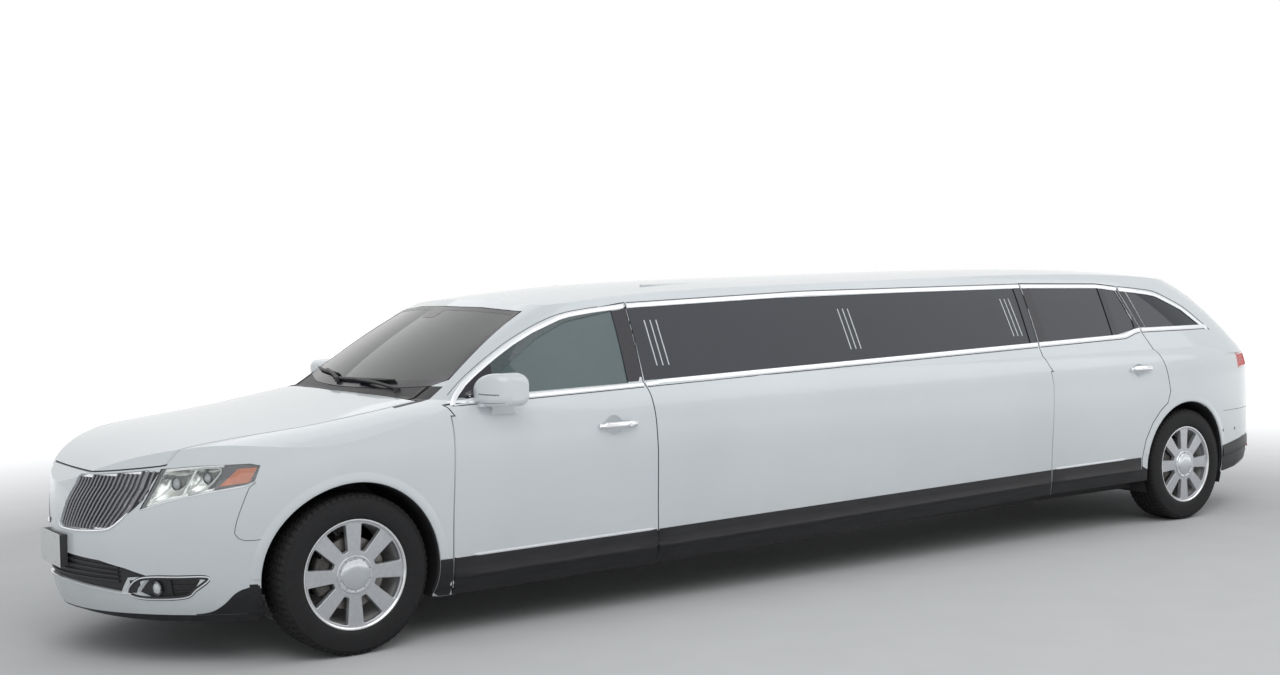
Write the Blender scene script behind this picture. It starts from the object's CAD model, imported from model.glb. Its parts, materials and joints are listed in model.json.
import bmesh
import bpy
import json
import math
from mathutils import Euler, Matrix, Vector
from mathutils.bvhtree import BVHTree


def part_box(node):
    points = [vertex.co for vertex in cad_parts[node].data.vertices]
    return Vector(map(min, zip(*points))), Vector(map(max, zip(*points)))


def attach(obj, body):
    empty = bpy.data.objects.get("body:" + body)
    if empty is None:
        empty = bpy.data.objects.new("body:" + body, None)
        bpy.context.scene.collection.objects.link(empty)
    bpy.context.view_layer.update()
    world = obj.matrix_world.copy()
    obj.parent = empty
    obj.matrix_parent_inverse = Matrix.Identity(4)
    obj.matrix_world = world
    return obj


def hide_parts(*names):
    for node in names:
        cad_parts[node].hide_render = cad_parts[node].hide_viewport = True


# Stretch limousine: looks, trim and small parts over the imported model. Metres, X forward, Y left, Z up.
# Stations are distances behind the front axle.

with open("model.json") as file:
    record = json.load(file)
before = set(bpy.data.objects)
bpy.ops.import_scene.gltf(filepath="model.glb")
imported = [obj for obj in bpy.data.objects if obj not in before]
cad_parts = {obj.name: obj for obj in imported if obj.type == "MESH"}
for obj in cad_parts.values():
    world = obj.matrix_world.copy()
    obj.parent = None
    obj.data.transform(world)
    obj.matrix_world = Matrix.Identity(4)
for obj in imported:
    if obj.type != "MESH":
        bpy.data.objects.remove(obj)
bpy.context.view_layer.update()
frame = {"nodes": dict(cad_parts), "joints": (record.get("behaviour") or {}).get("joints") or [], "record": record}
nodes = frame["nodes"]
joints = {joint["name"]: joint for joint in frame["joints"]}
SIDES = (("left", 1), ("right", -1))
ENDS = ("front", "rear")

# Places read from the frame
AXLE_X = joints["steering_left"]["pos_m"][0]
REAR = AXLE_X - joints["wheel_rear_left_spin"]["pos_m"][0]
HALF_TRACK = joints["wheel_rear_left_spin"]["pos_m"][1]
AXLE_Z = joints["wheel_rear_left_spin"]["pos_m"][2]


def at(station):
    return AXLE_X - station


def rider(base, word):
    """The body that a piece rides: the fixed body itself, or the door of that side."""
    return base if base == "body" else base + "_" + word


# Materials


class Shader:
    """A node material with a few helpers for procedural colour, roughness and bump."""

    def __init__(self, name, color=(0.8, 0.8, 0.8), **sockets):
        self.material = bpy.data.materials.new(name)
        self.material.use_nodes = True
        self.tree = self.material.node_tree
        self.surface = self.tree.nodes["Principled BSDF"]
        self.surface.inputs["Base Color"].default_value = (*color, 1)
        for socket, value in sockets.items():
            self.surface.inputs[socket.replace("_", " ")].default_value = value
        self.coordinates = self.tree.nodes.new("ShaderNodeTexCoord").outputs["Object"]

    def link(self, source, target):
        self.tree.links.new(source, target)

    def noise(self, scale, detail=3.0, roughness=0.55, stretch=None):
        node = self.tree.nodes.new("ShaderNodeTexNoise")
        node.inputs["Scale"].default_value = scale
        node.inputs["Detail"].default_value = detail
        node.inputs["Roughness"].default_value = roughness
        source = self.coordinates
        if stretch:
            mapping = self.tree.nodes.new("ShaderNodeMapping")
            mapping.inputs["Scale"].default_value = stretch
            self.link(source, mapping.inputs["Vector"])
            source = mapping.outputs["Vector"]
        self.link(source, node.inputs["Vector"])
        return node.outputs["Fac"]

    def along(self, axis):
        node = self.tree.nodes.new("ShaderNodeSeparateXYZ")
        self.link(self.coordinates, node.inputs[0])
        return node.outputs[axis]

    def ramp(self, value, stops):
        node = self.tree.nodes.new("ShaderNodeValToRGB")
        ramp = node.color_ramp
        while len(ramp.elements) < len(stops):
            ramp.elements.new(0.5)
        for element, (position, color) in zip(ramp.elements, stops):
            element.position = position
            element.color = (*color, 1) if len(color) == 3 else color
        self.link(value, node.inputs["Fac"])
        return node.outputs["Color"]

    def range(self, value, low, high, to_low, to_high):
        node = self.tree.nodes.new("ShaderNodeMapRange")
        for socket, number in zip(("From Min", "From Max", "To Min", "To Max"),
                                  (low, high, to_low, to_high)):
            node.inputs[socket].default_value = number
        self.link(value, node.inputs["Value"])
        return node.outputs["Result"]

    def math(self, operation, a, b):
        node = self.tree.nodes.new("ShaderNodeMath")
        node.operation = operation
        for socket, value in zip(node.inputs, (a, b)):
            if isinstance(value, (int, float)):
                socket.default_value = value
            else:
                self.link(value, socket)
        return node.outputs[0]

    def mix(self, factor, a, b):
        node = self.tree.nodes.new("ShaderNodeMix")
        node.data_type = "RGBA"
        self.link(factor, node.inputs["Factor"])
        for socket, value in (("A", a), ("B", b)):
            target = [s for s in node.inputs if s.name == socket and s.type == "RGBA"][0]
            if isinstance(value, tuple):
                target.default_value = (*value, 1)
            else:
                self.link(value, target)
        return [s for s in node.outputs if s.type == "RGBA"][0]

    def bump(self, height, strength, distance=0.001):
        node = self.tree.nodes.new("ShaderNodeBump")
        node.inputs["Strength"].default_value = strength
        node.inputs["Distance"].default_value = distance
        self.link(height, node.inputs["Height"])
        self.link(node.outputs["Normal"], self.surface.inputs["Normal"])
        return self

    def color(self, source):
        self.link(source, self.surface.inputs["Base Color"])
        return self

    def rough(self, source):
        self.link(source, self.surface.inputs["Roughness"])
        return self


def pearl_paint():
    shader = Shader("pearl_paint", Metallic=0.0, Roughness=0.38, Coat_Weight=0.8, Coat_Roughness=0.04)
    cloud = shader.noise(1.3, 2.0)
    base = shader.ramp(cloud, ((0.3, (0.625, 0.665, 0.685)), (0.7, (0.665, 0.70, 0.715))))
    height = shader.range(shader.along("Z"), 0.30, 0.62, 1.0, 0.0)
    grime = shader.math("MULTIPLY", height, shader.range(shader.noise(5.0, 6.0), 0.35, 0.8, 0.05, 0.30))
    shader.color(shader.mix(grime, base, (0.42, 0.41, 0.38)))
    shader.bump(shader.noise(900.0, 2.0), 0.04, 0.0004)
    return shader.material


def plain(name, color, spread=0.12, scale=60.0, bump=0.15, stretch=None, **sockets):
    """Plastic, metal or rubber with uneven tone and a fine grain."""
    shader = Shader(name, color, **sockets)
    low = tuple(c * (1 - spread) for c in color)
    high = tuple(min(1.0, c * (1 + spread)) for c in color)
    shader.color(shader.ramp(shader.noise(scale, 4.0, stretch=stretch), ((0.35, low), (0.65, high))))
    if bump:
        shader.bump(shader.noise(scale * 9, 3.0, stretch=stretch), bump, 0.0006)
    return shader.material


def tinted_glass(name, color, transmission, roughness=0.01, specular=0.5):
    shader = Shader(name, color, Roughness=roughness, IOR=1.5, Specular_IOR_Level=specular)
    shader.surface.inputs["Transmission Weight"].default_value = transmission
    film = shader.ramp(shader.noise(3.0, 3.0), ((0.35, tuple(c * 0.9 for c in color)), (0.65, color)))
    shader.color(film)
    return shader.material


MATERIALS = {
    "paint": pearl_paint(),
    "clear_glass": tinted_glass("green_tinted_glass", (0.13, 0.20, 0.21), 0.45),
    "screen_glass": tinted_glass("windscreen_glass", (0.075, 0.09, 0.085), 0.85, specular=0.06),
    "dark_glass": tinted_glass("dark_limousine_glass", (0.016, 0.021, 0.032), 0.0, 0.03, specular=0.38),
    "lamp_lens": tinted_glass("clear_lamp_lens", (0.92, 0.94, 0.95), 1.0),
    "red_lens": plain("red_lamp_lens", (0.58, 0.010, 0.014), bump=0.0, Roughness=0.12, Coat_Weight=0.4),
    "amber_lens": plain("amber_lamp_lens", (0.80, 0.20, 0.06), bump=0.0, Roughness=0.18, Coat_Weight=1.0),
    "black_plastic": plain("grained_black_plastic", (0.022, 0.022, 0.024), Roughness=0.55),
    "glass_rim": plain("glass_over_its_rim", (0.060, 0.083, 0.086), bump=0.0, Roughness=0.03),
    "gloss_black": plain("gloss_black_pillar", (0.022, 0.021, 0.028), bump=0.0, Roughness=0.22,
                         Specular_IOR_Level=0.35),
    "chrome": plain("bright_chrome", (0.80, 0.81, 0.83), spread=0.04, bump=0.02, Metallic=1.0,
                    Roughness=0.10),
    "dark_chrome": plain("smoked_chrome", (0.20, 0.20, 0.22), spread=0.10, bump=0.02, Metallic=1.0,
                         Roughness=0.22),
    "plate": plain("blank_plate", (0.66, 0.67, 0.66), spread=0.04, bump=0.03, Roughness=0.35),
    "seat_leather": plain("black_leather", (0.035, 0.032, 0.030), scale=90.0, bump=0.4, Roughness=0.42),
    "cabinet": plain("dark_wood", (0.085, 0.045, 0.025), spread=0.35, scale=14.0, stretch=(1.0, 14.0, 14.0),
                     Roughness=0.25, Coat_Weight=0.6),
    "underbody": plain("underbody_coating", (0.018, 0.018, 0.018), Roughness=0.85),
    "steel": plain("dusty_steel", (0.10, 0.095, 0.09), spread=0.25, Metallic=0.7, Roughness=0.55),
    "tyre": plain("tyre_rubber", (0.013, 0.013, 0.014), scale=40.0, bump=0.25, Roughness=0.72,
                  Specular_IOR_Level=0.3),
    "wheel_barrel": plain("pale_wheel_barrel", (0.62, 0.62, 0.60), spread=0.06, bump=0.04, Metallic=0.35,
                          Roughness=0.42),
    "wheel_lip": plain("machined_wheel_lip", (0.74, 0.75, 0.76), spread=0.03, bump=0.03, Metallic=0.85,
                       Roughness=0.22),
    "cap_chrome": plain("polished_wheel_cap", (0.62, 0.64, 0.66), spread=0.02, bump=0.02, Metallic=0.95,
                        Roughness=0.14),
    "brake_disc": plain("worn_brake_disc", (0.20, 0.19, 0.18), spread=0.2, bump=0.1, Metallic=0.85,
                        Roughness=0.45),
    "wheel_silver": plain("satin_wheel_silver", (0.47, 0.48, 0.50), spread=0.05, bump=0.05, Metallic=0.55,
                          Roughness=0.34, Coat_Weight=0.4),
    "satin_chrome": plain("satin_chrome", (0.80, 0.82, 0.84), spread=0.04, bump=0.02, Metallic=0.72,
                          Roughness=0.28),
    "sill_plastic": plain("scuffed_black_sill", (0.012, 0.012, 0.014), spread=0.3, scale=22.0, bump=0.1,
                          stretch=(0.25, 1.0, 2.0), Roughness=0.42, Specular_IOR_Level=0.35),
    "grille_bar": plain("satin_grille_bar", (0.22, 0.22, 0.235), spread=0.06, bump=0.04, Metallic=0.8,
                        Roughness=0.32),
    "reflector": plain("lamp_reflector", (0.86, 0.87, 0.84), spread=0.05, scale=25.0, bump=0.03,
                       Metallic=0.85, Roughness=0.18),
    "lamp_grey": plain("lamp_surround", (0.17, 0.17, 0.18), bump=0.03, Roughness=0.35),
    "pale_frame": plain("pale_lamp_frame", (0.78, 0.80, 0.80), spread=0.04, bump=0.02, Roughness=0.22),
    "bulb_glass": plain("bulb_glass", (0.62, 0.66, 0.66), spread=0.05, bump=0.02, Roughness=0.06,
                        Coat_Weight=1.0),
    "seam": plain("shut_line", (0.045, 0.045, 0.047), bump=0.0, Roughness=0.8),
    "pale_stripe": plain("pale_pinstripe", (0.62, 0.64, 0.66), spread=0.05, bump=0.02, Roughness=0.35),
    "steel_bright": plain("zinc_screw", (0.42, 0.41, 0.38), spread=0.15, bump=0.1, Metallic=0.9,
                          Roughness=0.4),
    "seat_piping": plain("pale_seat_piping", (0.30, 0.29, 0.27), bump=0.1, Roughness=0.5),
    "headliner": plain("dark_headliner", (0.050, 0.048, 0.046), scale=150.0, bump=0.5, Roughness=0.95),
    "side_trim": plain("charcoal_side_trim", (0.040, 0.039, 0.038), scale=80.0, bump=0.3, Roughness=0.6),
    "bonnet_pad": plain("felt_bonnet_pad", (0.030, 0.030, 0.030), scale=70.0, bump=0.8, Roughness=0.95),
    "mirror_face": plain("mirror_face", (0.60, 0.64, 0.66), spread=0.03, bump=0.0, Metallic=1.0,
                         Roughness=0.04),
    "wiper_rubber": plain("wiper_rubber", (0.012, 0.012, 0.012), bump=0.1, Roughness=0.7),
    "carpet": plain("black_carpet", (0.020, 0.020, 0.021), scale=200.0, bump=0.9, Roughness=0.95),
}

# The record's slot that each look stands for, unless a piece names another
USUAL_SLOTS = {material: slot for slot, materials in {
    "black_plastic": ("black_plastic", "gloss_black", "sill_plastic", "seam", "wiper_rubber"),
    "chrome": ("chrome", "satin_chrome", "grille_bar", "pale_frame", "dark_chrome"),
    "paint": ("paint", "pale_stripe", "lamp_grey"),
    "lamp_lens": ("lamp_lens", "bulb_glass", "amber_lens"),
    "steel": ("steel", "steel_bright"),
    "clear_glass": ("mirror_face",),
}.items() for material in materials}
for same in ("red_lens", "plate", "tyre", "underbody", "cabinet", "seat_leather", "wheel_silver"):
    USUAL_SLOTS[same] = same

slot_of = {part["node"]: part["material_slot"] for part in frame["record"]["subparts"]}
for name, node in nodes.items():
    material = MATERIALS[slot_of[name]]
    node.data.materials.clear()
    node.data.materials.append(material)
    for polygon in node.data.polygons:
        polygon.use_smooth = True
nodes["windscreen"].data.materials[0] = MATERIALS["screen_glass"]

# Faces across the car inside the shut gaps are dark, and so are the undersides
for name, node in nodes.items():
    if "door" not in name and name not in ("stretch_panels", "rear_quarters", "front_wings",
                                           "front_bumper") or "glass" in name:
        continue
    door = "door" in name
    node.data.materials.append(MATERIALS["seam"])
    node.data.materials.append(MATERIALS["underbody"])
    node.data.materials.append(MATERIALS["sill_plastic"])
    for polygon in node.data.polygons:
        if name == "front_bumper":
            if polygon.center.z < 0.362 and AXLE_X - polygon.center.x > -0.47:
                polygon.material_index = 3
            continue
        normal, centre = polygon.normal, node.matrix_world @ polygon.center
        if name != "front_wings" and max(node.data.vertices[i].co.z
                                         for i in polygon.vertices) < 0.400 and centre.x < AXLE_X - 0.5:
            polygon.material_index = 3
        across = abs(normal.x) > 0.45 and abs(centre.y) > 0.6 and abs(centre.x) < 3.2
        if across and (centre.z > 1.12 or centre.z < 0.44 or not door):
            polygon.material_index = 1
        if normal.z < -0.7 and centre.z < 0.5:
            polygon.material_index = 2


# Geometry helpers


def finish_mesh(name, verts, faces, body, material, sharp=35):
    """A new piece from vertices and faces, with edges sharp above an angle."""
    mesh = bpy.data.meshes.new(name)
    mesh.from_pydata([tuple(v) for v in verts], [], faces)
    bm = bmesh.new()
    bm.from_mesh(mesh)
    bmesh.ops.remove_doubles(bm, verts=bm.verts, dist=1e-6)
    bmesh.ops.recalc_face_normals(bm, faces=bm.faces)
    for face in bm.faces:
        face.smooth = True
    for edge in bm.edges:
        edge.smooth = edge.calc_face_angle(0) < math.radians(sharp)
    bm.to_mesh(mesh)
    bm.free()
    piece = bpy.data.objects.new(name, mesh)
    bpy.context.scene.collection.objects.link(piece)
    mesh.materials.append(MATERIALS[material])
    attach(piece, body)
    return piece


def ring_faces(rings, size, closed=False, whole=True, caps=True):
    """Quads between neighbouring rings of vertices. Closed joins the last ring to the first, whole goes
    round each ring, and caps close the two end rings."""
    faces = []
    for i in range(rings if closed else rings - 1):
        j = (i + 1) % rings
        for k in range(size if whole else size - 1):
            m = (k + 1) % size
            faces.append((i * size + k, i * size + m, j * size + m, j * size + k))
    if caps and not closed:
        faces += [tuple(range(size)), tuple(range((rings - 1) * size, rings * size))]
    return faces


def grid_faces(rows, columns, start=0):
    """Quads over a grid of vertices that are stored row by row."""
    corners = [start + i * columns + j for i in range(rows - 1) for j in range(columns - 1)]
    return [(a, a + 1, a + columns + 1, a + columns) for a in corners]


def grid_rim(rows, columns):
    """Vertex numbers round the edge of such a grid, in order."""
    rim = list(range(columns)) + [i * columns + columns - 1 for i in range(1, rows)]
    rim += [(rows - 1) * columns + j for j in range(columns - 2, -1, -1)]
    return rim + [i * columns for i in range(rows - 2, 0, -1)]


def tree_of(names):
    verts, faces = [], []
    for name in names:
        node = nodes[name]
        start = len(verts)
        verts += [node.matrix_world @ v.co for v in node.data.vertices]
        faces += [[start + i for i in p.vertices] for p in node.data.polygons]
    return BVHTree.FromPolygons(verts, faces)


PANEL_NODES = [n for n in nodes if slot_of[n] == "paint" and not n.startswith("mirror")] + ["cowl"]
GLASS_NODES = [n for n in nodes if slot_of[n] in ("clear_glass", "dark_glass")]
SKIN = tree_of(PANEL_NODES)
PANES = tree_of(GLASS_NODES)
GLASS_SINK = 0.004


def cast(origin, direction, tree=None, reach=2.5):
    """Where a ray meets the outer skin, glass raised to the panels' level, and the outward normal."""
    origin, direction = Vector(origin), Vector(direction).normalized()
    if tree:
        place, normal, _, _ = tree.ray_cast(origin, direction, reach)
    else:
        place, normal, _, far = SKIN.ray_cast(origin, direction, reach)
        pane, pane_normal, _, pane_far = PANES.ray_cast(origin, direction, reach)
        if pane and (place is None or pane_far < far):
            if pane_normal.dot(direction) > 0:
                pane_normal = -pane_normal
            place, normal = pane + pane_normal * GLASS_SINK, pane_normal
    if place is None:
        return None
    return place, (-normal if normal.dot(direction) > 0 else normal)


def side_hit(station, height, side, tree=None):
    return cast((at(station), side * 1.4, height), (0, -side, 0), tree)


def front_hit(y, height, tree=None):
    return cast((at(-1.4), y, height), (-1, 0, 0), tree)


def rear_hit(y, height):
    return cast((at(REAR + 1.6), y, height), (1, 0, 0))


def rear_line(y0, y1, count, height):
    return mended([rear_hit(y, height) for y in spread(y0, y1, count)])


def top_hit(station, y):
    return cast((at(station), y, 2.0), (0, 0, -1))


def filled(line):
    """The line with each miss taken from its nearest hit."""
    known = [i for i, item in enumerate(line) if item]
    return [item or line[min(known, key=lambda k: abs(k - i))] for i, item in enumerate(line)]


def mended(line):
    """Fills misses and lifts points that fell into a shut gap, its ends too, from their neighbours."""
    line = filled(line)
    for _ in range(3):
        for i in range(1, len(line) - 1):
            before, here, after = line[i - 1], line[i], line[i + 1]
            middle = (before[0] + after[0]) / 2
            normal = (before[1] + after[1]).normalized()
            if (middle - here[0]).dot(normal) > 0.004:
                line[i] = (middle, normal)
    for end, near in ((0, 1), (-1, -2)):
        if len(line) > 2:
            drop = (line[near][0] - line[end][0]).dot(line[near][1])
            if drop > 0.008:
                line[end] = (line[end][0] + line[near][1] * drop, line[near][1])
    return line


def curve_points(points, step=0.03, closed=False):
    """Catmull-Rom points through a list of 2-D points."""
    result = []
    count = len(points)
    for i in range(count if closed else count - 1):
        if closed:
            p0, p1, p2, p3 = points[i - 1], points[i], points[(i + 1) % count], points[(i + 2) % count]
        else:
            p0, p1, p2, p3 = points[max(i - 1, 0)], points[i], points[i + 1], points[min(i + 2, count - 1)]
        pieces = max(1, int(math.dist(p1, p2) / step))
        for k in range(pieces):
            t = k / pieces
            result.append(tuple(0.5 * (2 * b + (c - a) * t + (2 * a - 5 * b + 4 * c - d) * t * t
                                       + (3 * b - a - 3 * c + d) * t ** 3)
                                for a, b, c, d in zip(p0, p1, p2, p3)))
    if not closed:
        result.append(tuple(points[-1]))
    return result


def straight_points(points, step=0.03):
    result = []
    for a, b in zip(points, points[1:]):
        pieces = max(1, int(math.dist(a, b) / step))
        result += [tuple(p + (q - p) * k / pieces for p, q in zip(a, b)) for k in range(pieces)]
    return result + [tuple(points[-1])]


def side_line(points, side, step=0.03, smooth=True):
    places = curve_points(points, step) if smooth else straight_points(points, step)
    return mended([side_hit(s, z, side) for s, z in places])


ROUNDED_BAR = ((-0.5, -0.5), (-0.5, 0.35), (-0.38, 0.85), (0.0, 1.0), (0.38, 0.85), (0.5, 0.35),
               (0.5, -0.5))


def strip(name, line, width, height, body, material, profile=ROUNDED_BAR, closed=False,
          taper=0, lift=0.0):
    """A bar of one section along points on a surface. Taper narrows that many points at each end."""
    verts = []
    count = len(line)
    for i, (place, normal) in enumerate(line):
        before = line[i - 1][0] if i or closed else place
        after = line[(i + 1) % count][0] if i < count - 1 or closed else place
        along = (after - before).normalized()
        across = along.cross(normal).normalized()
        out = across.cross(along).normalized()
        narrow = 1.0
        if taper and not closed:
            narrow = min(1.0, (min(i, count - 1 - i) + 0.25) / taper)
        verts += [place + out * lift + across * (a * width * narrow) + out * (b * height)
                  for a, b in profile]
    return finish_mesh(name, verts, ring_faces(count, len(profile), closed), body, material, sharp=50)


def tube(name, points, radius, body, material, sides=8, closed=False):
    """A round bar along points in space."""
    line = [(Vector(place), Vector((0.02, 0.01, 1)).normalized()) for place in points]
    profile = tuple((math.cos(math.tau * k / sides), math.sin(math.tau * k / sides)) for k in range(sides))
    return strip(name, line, radius, radius, body, material, profile=profile, closed=closed)


def skin_patch(name, rows, body, material, lifts=0.0012, edge=0.004, sharp=28):
    """A sheet over the skin from rows of (place, normal), raised by one lift, a lift for each row or
    lifts along each row, with its rim turned in."""
    height, width = len(rows), len(rows[0])
    points = [item for row in rows for item in row]
    if isinstance(lifts, float):
        lifts = [lifts] * height
    amounts = [amount for lift in lifts for amount in (lift if isinstance(lift, list) else [lift] * width)]
    verts = [place + normal * amount for (place, normal), amount in zip(points, amounts)]
    faces = grid_faces(height, width)
    rim = grid_rim(height, width)
    start = len(verts)
    verts += [points[i][0] - points[i][1] * edge for i in rim]
    for k, a in enumerate(rim):
        m = (k + 1) % len(rim)
        faces.append((a, rim[m], start + m, start + k))
    return finish_mesh(name, verts, faces, body, material, sharp=sharp)


def sheet(name, rows, thickness, material, sharp):
    """A closed pane from rows of (place, normal) on its outer face."""
    height, width = len(rows), len(rows[0])
    verts = [place - normal * depth for depth in (0.0, thickness) for row in rows for place, normal in row]
    count = height * width
    faces = grid_faces(height, width) + grid_faces(height, width, count)
    rim = grid_rim(height, width)
    faces += [(a, b, count + b, count + a) for a, b in zip(rim, rim[1:] + rim[:1])]
    return finish_mesh(name, verts, faces, "body", material, sharp=sharp)


def between(a, b, t):
    return tuple(p + (q - p) * t for p, q in zip(a, b))


def side_grid(bottom, top, shares, side):
    """Rows of skin points between a lower and an upper line of (station, height)."""
    return [mended([side_hit(*between(a, b, t), side) for a, b in zip(bottom, top)]) for t in shares]


def spread(a, b, count):
    return [a + (b - a) * i / (count - 1) for i in range(count)]


def box_piece(name, centre, size, body, material, bevel=0.003, turn=(0, 0, 0), segments=2):
    """A block with rounded edges."""
    bm = bmesh.new()
    bmesh.ops.create_cube(bm, size=1)
    bmesh.ops.scale(bm, vec=size, verts=bm.verts)
    bmesh.ops.bevel(bm, geom=bm.edges, offset=bevel, segments=segments, affect="EDGES", profile=0.6)
    rotation = Euler(turn).to_matrix()
    verts = [rotation @ v.co + Vector(centre) for v in bm.verts]
    faces = [[v.index for v in f.verts] for f in bm.faces]
    bm.free()
    return finish_mesh(name, verts, faces, body, material)


def block(name, place, size, material, bevel=0.003, pitch=0, segments=2, body="body"):
    """A rounded block at a place of (station, y, z), tipped about Y by a pitch in degrees."""
    station, y, z = place
    turn = (0, math.radians(pitch), 0)
    return box_piece(name, (at(station), y, z), size, body, material, bevel, turn, segments)


def turned(name, outline, centre, body, material, steps=96, axis="Y", side=1, sharp=30):
    """A turned piece from an outline of (radius, offset along the axis)."""
    verts = []
    for k in range(steps):
        angle = math.tau * k / steps
        for radius, offset in outline:
            a, b = radius * math.cos(angle), radius * math.sin(angle)
            place = {"X": (offset, a, b), "Y": (a, offset * side, b), "Z": (a, b, offset)}[axis]
            verts.append(Vector(place) + Vector(centre))
    faces = ring_faces(steps, len(outline), closed=True)
    return finish_mesh(name, verts, faces, body, material, sharp=sharp)


def faced(name, outline, place, direction, body, material, steps=28, whole=True):
    """A turned piece from an outline of (radius, height), standing on a place and facing a direction."""
    turn = direction.to_track_quat("Z", "Y").to_matrix()
    verts = []
    for k in range(steps):
        a = math.tau * k / steps
        verts += [place + turn @ Vector((r * math.cos(a), r * math.sin(a), h)) for r, h in outline]
    finish_mesh(name, verts, ring_faces(steps, len(outline), True, whole), body, material)


# Side lines, as in the model
KICK = (5.490, 5.670, 0.036)
WINDOW_TOP = ((0.700, 1.170), (0.899, 1.335), (1.075, 1.440), (1.253, 1.508), (1.632, 1.557),
              (2.853, 1.592), (4.673, 1.600), (5.393, 1.586), (5.961, 1.524), (6.230, 1.415),
              (6.420, 1.262))
CHROME_WIDE = 0.026
# Middle of the bright strip over the front door's window, and the upper edge of its glass
WINDOW_CORNER = ((0.516, 1.104), (0.549, 1.134), (0.624, 1.191), (0.700, 1.243), (0.821, 1.318),
                 (0.955, 1.391), (1.111, 1.459), (1.253, 1.501), (1.400, 1.5215), (1.540, 1.5345))
GLASS_CORNER = ((0.575, 1.120), (0.755, 1.128), (0.790, 1.226), (0.899, 1.306), (1.075, 1.410),
                (1.253, 1.484), (1.545, 1.530))


def height_at(points, value):
    """The second coordinate of a line at a value of its first; the end runs go on past their ends."""
    for (a0, b0), (a1, b1) in zip(points, points[1:]):
        if value <= a1:
            break
    return b0 + (b1 - b0) * (value - a0) / (a1 - a0)


def belt(station):
    rise = max(0.0, min(1.0, (station - KICK[0]) / (KICK[1] - KICK[0])))
    return 1.106 + 0.0254 * (min(station, KICK[0]) - 0.517) + KICK[2] * rise * rise * (3 - 2 * rise)


def window_top(station):
    return height_at(WINDOW_TOP, station)


# Runs of trim between the shut lines: the body it rides, first and last station
BELT_RUNS = (("front_door", 0.512, 1.631), ("body", 1.6485, 4.657), ("rear_door", 4.674, 5.679),
             ("body", 5.698, 6.425))
TOP_RUNS = (("body", 1.6485, 4.657), ("rear_door", 4.674, 5.577))
QUARTER_TOP = ((5.78, 1.532), (5.955, 1.508), (6.10, 1.455), (6.215, 1.402), (6.33, 1.322), (6.425, 1.262))
QUARTER_SEAL = ((5.79, 1.550), (5.968, 1.527), (6.115, 1.472), (6.240, 1.415), (6.36, 1.328),
                (6.452, 1.255))


def belt_trim(word, side):
    """The bright strip along the belt, with its black seal below."""
    for index, (base, s0, s1) in enumerate(BELT_RUNS):
        body = rider(base, word)
        count = max(3, int((s1 - s0) / 0.05))
        line = side_line([(s, belt(s) + CHROME_WIDE / 2) for s in spread(s0, s1, count)], side)
        strip("belt_strip_%d_%s" % (index, word), line, CHROME_WIDE, 0.004, body, "satin_chrome",
              lift=-0.0005)
        line = side_line([(s, belt(s) - 0.004) for s in spread(s0 + 0.002, s1 - 0.006, count)], side)
        strip("belt_seal_%d_%s" % (index, word), line, 0.005, 0.0015, body, "black_plastic")


def front_corner(word, side):
    """The front door's upper front corner: its bright strip, a seam, the dark sail and the glass edge."""
    body = "front_door_" + word
    line = side_line(list(WINDOW_CORNER) + [(1.622, window_top(1.622) - CHROME_WIDE / 2)], side)
    strip("front_door_top_strip_" + word, line, CHROME_WIDE, 0.004, body, "satin_chrome", lift=0.0004)
    line = side_line([(s - 0.010, z + 0.0135) for s, z in WINDOW_CORNER[1:]], side)
    strip("front_corner_seam_" + word, line, 0.0035, 0.0010, "body", "seam")
    for name, s0, s1, material, slot in (("front_sail_", 0.575, 0.785, "gloss_black", "black_plastic"),
                                         ("front_window_corner_", 0.779, 1.535, "glass_rim",
                                          "clear_glass")):
        stations = spread(s0, s1, 24)
        top = [(s, height_at(WINDOW_CORNER, s) - 0.010) for s in stations]
        foot = [(s, max(belt(s) + CHROME_WIDE, height_at(GLASS_CORNER, s) - 0.012)) for s in stations]
        rows = side_grid(foot, top, spread(0, 1, 5), side)
        skin_patch(name + word, rows, body, material, edge=0.002)


def top_trim(word, side):
    """The bright strips over the windows, down the quarter too, and their black seals."""
    half = CHROME_WIDE / 2
    for index, (base, s0, s1) in enumerate(TOP_RUNS):
        stations = spread(s0, s1, max(4, int((s1 - s0) / 0.12)))
        line = side_line([(s, window_top(s) - half) for s in stations], side)
        strip("top_strip_%d_%s" % (index, word), line, CHROME_WIDE, 0.004, rider(base, word),
              "satin_chrome")
    line = side_line([(s, window_top(s) + 0.002) for s in spread(1.650, 4.660, 24)], side)
    strip("top_seal_" + word, line, 0.004, 0.002, "body", "black_plastic")
    line = side_line([(5.600, window_top(5.600) - half)] + list(QUARTER_TOP), side)
    strip("quarter_top_strip_" + word, line, CHROME_WIDE * 1.15, 0.004, "body", "satin_chrome")
    line = side_line([(5.600, window_top(5.600) + 0.004)] + list(QUARTER_SEAL), side)
    strip("quarter_top_seal_" + word, line, 0.005, 0.002, "body", "black_plastic")


def window_trim():
    """Bright strips along the belt and over the windows, cut at the doors."""
    for word, side in SIDES:
        belt_trim(word, side)
        front_corner(word, side)
        top_trim(word, side)


# Rear edge of the rear doors above the belt: height, station
DOOR_EDGE = ((1.130, 5.770), (1.262, 5.690), (1.560, 5.585))
EDGE_HEIGHTS = (1.297, 1.330, 1.370, 1.430, 1.490, 1.530, 1.551)
DOOR_COVER_WIDTHS = (0.046, 0.034, 0.032, 0.030, 0.028, 0.027, 0.026)


def rear_door_edge(z):
    return height_at(DOOR_EDGE, z)


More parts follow.
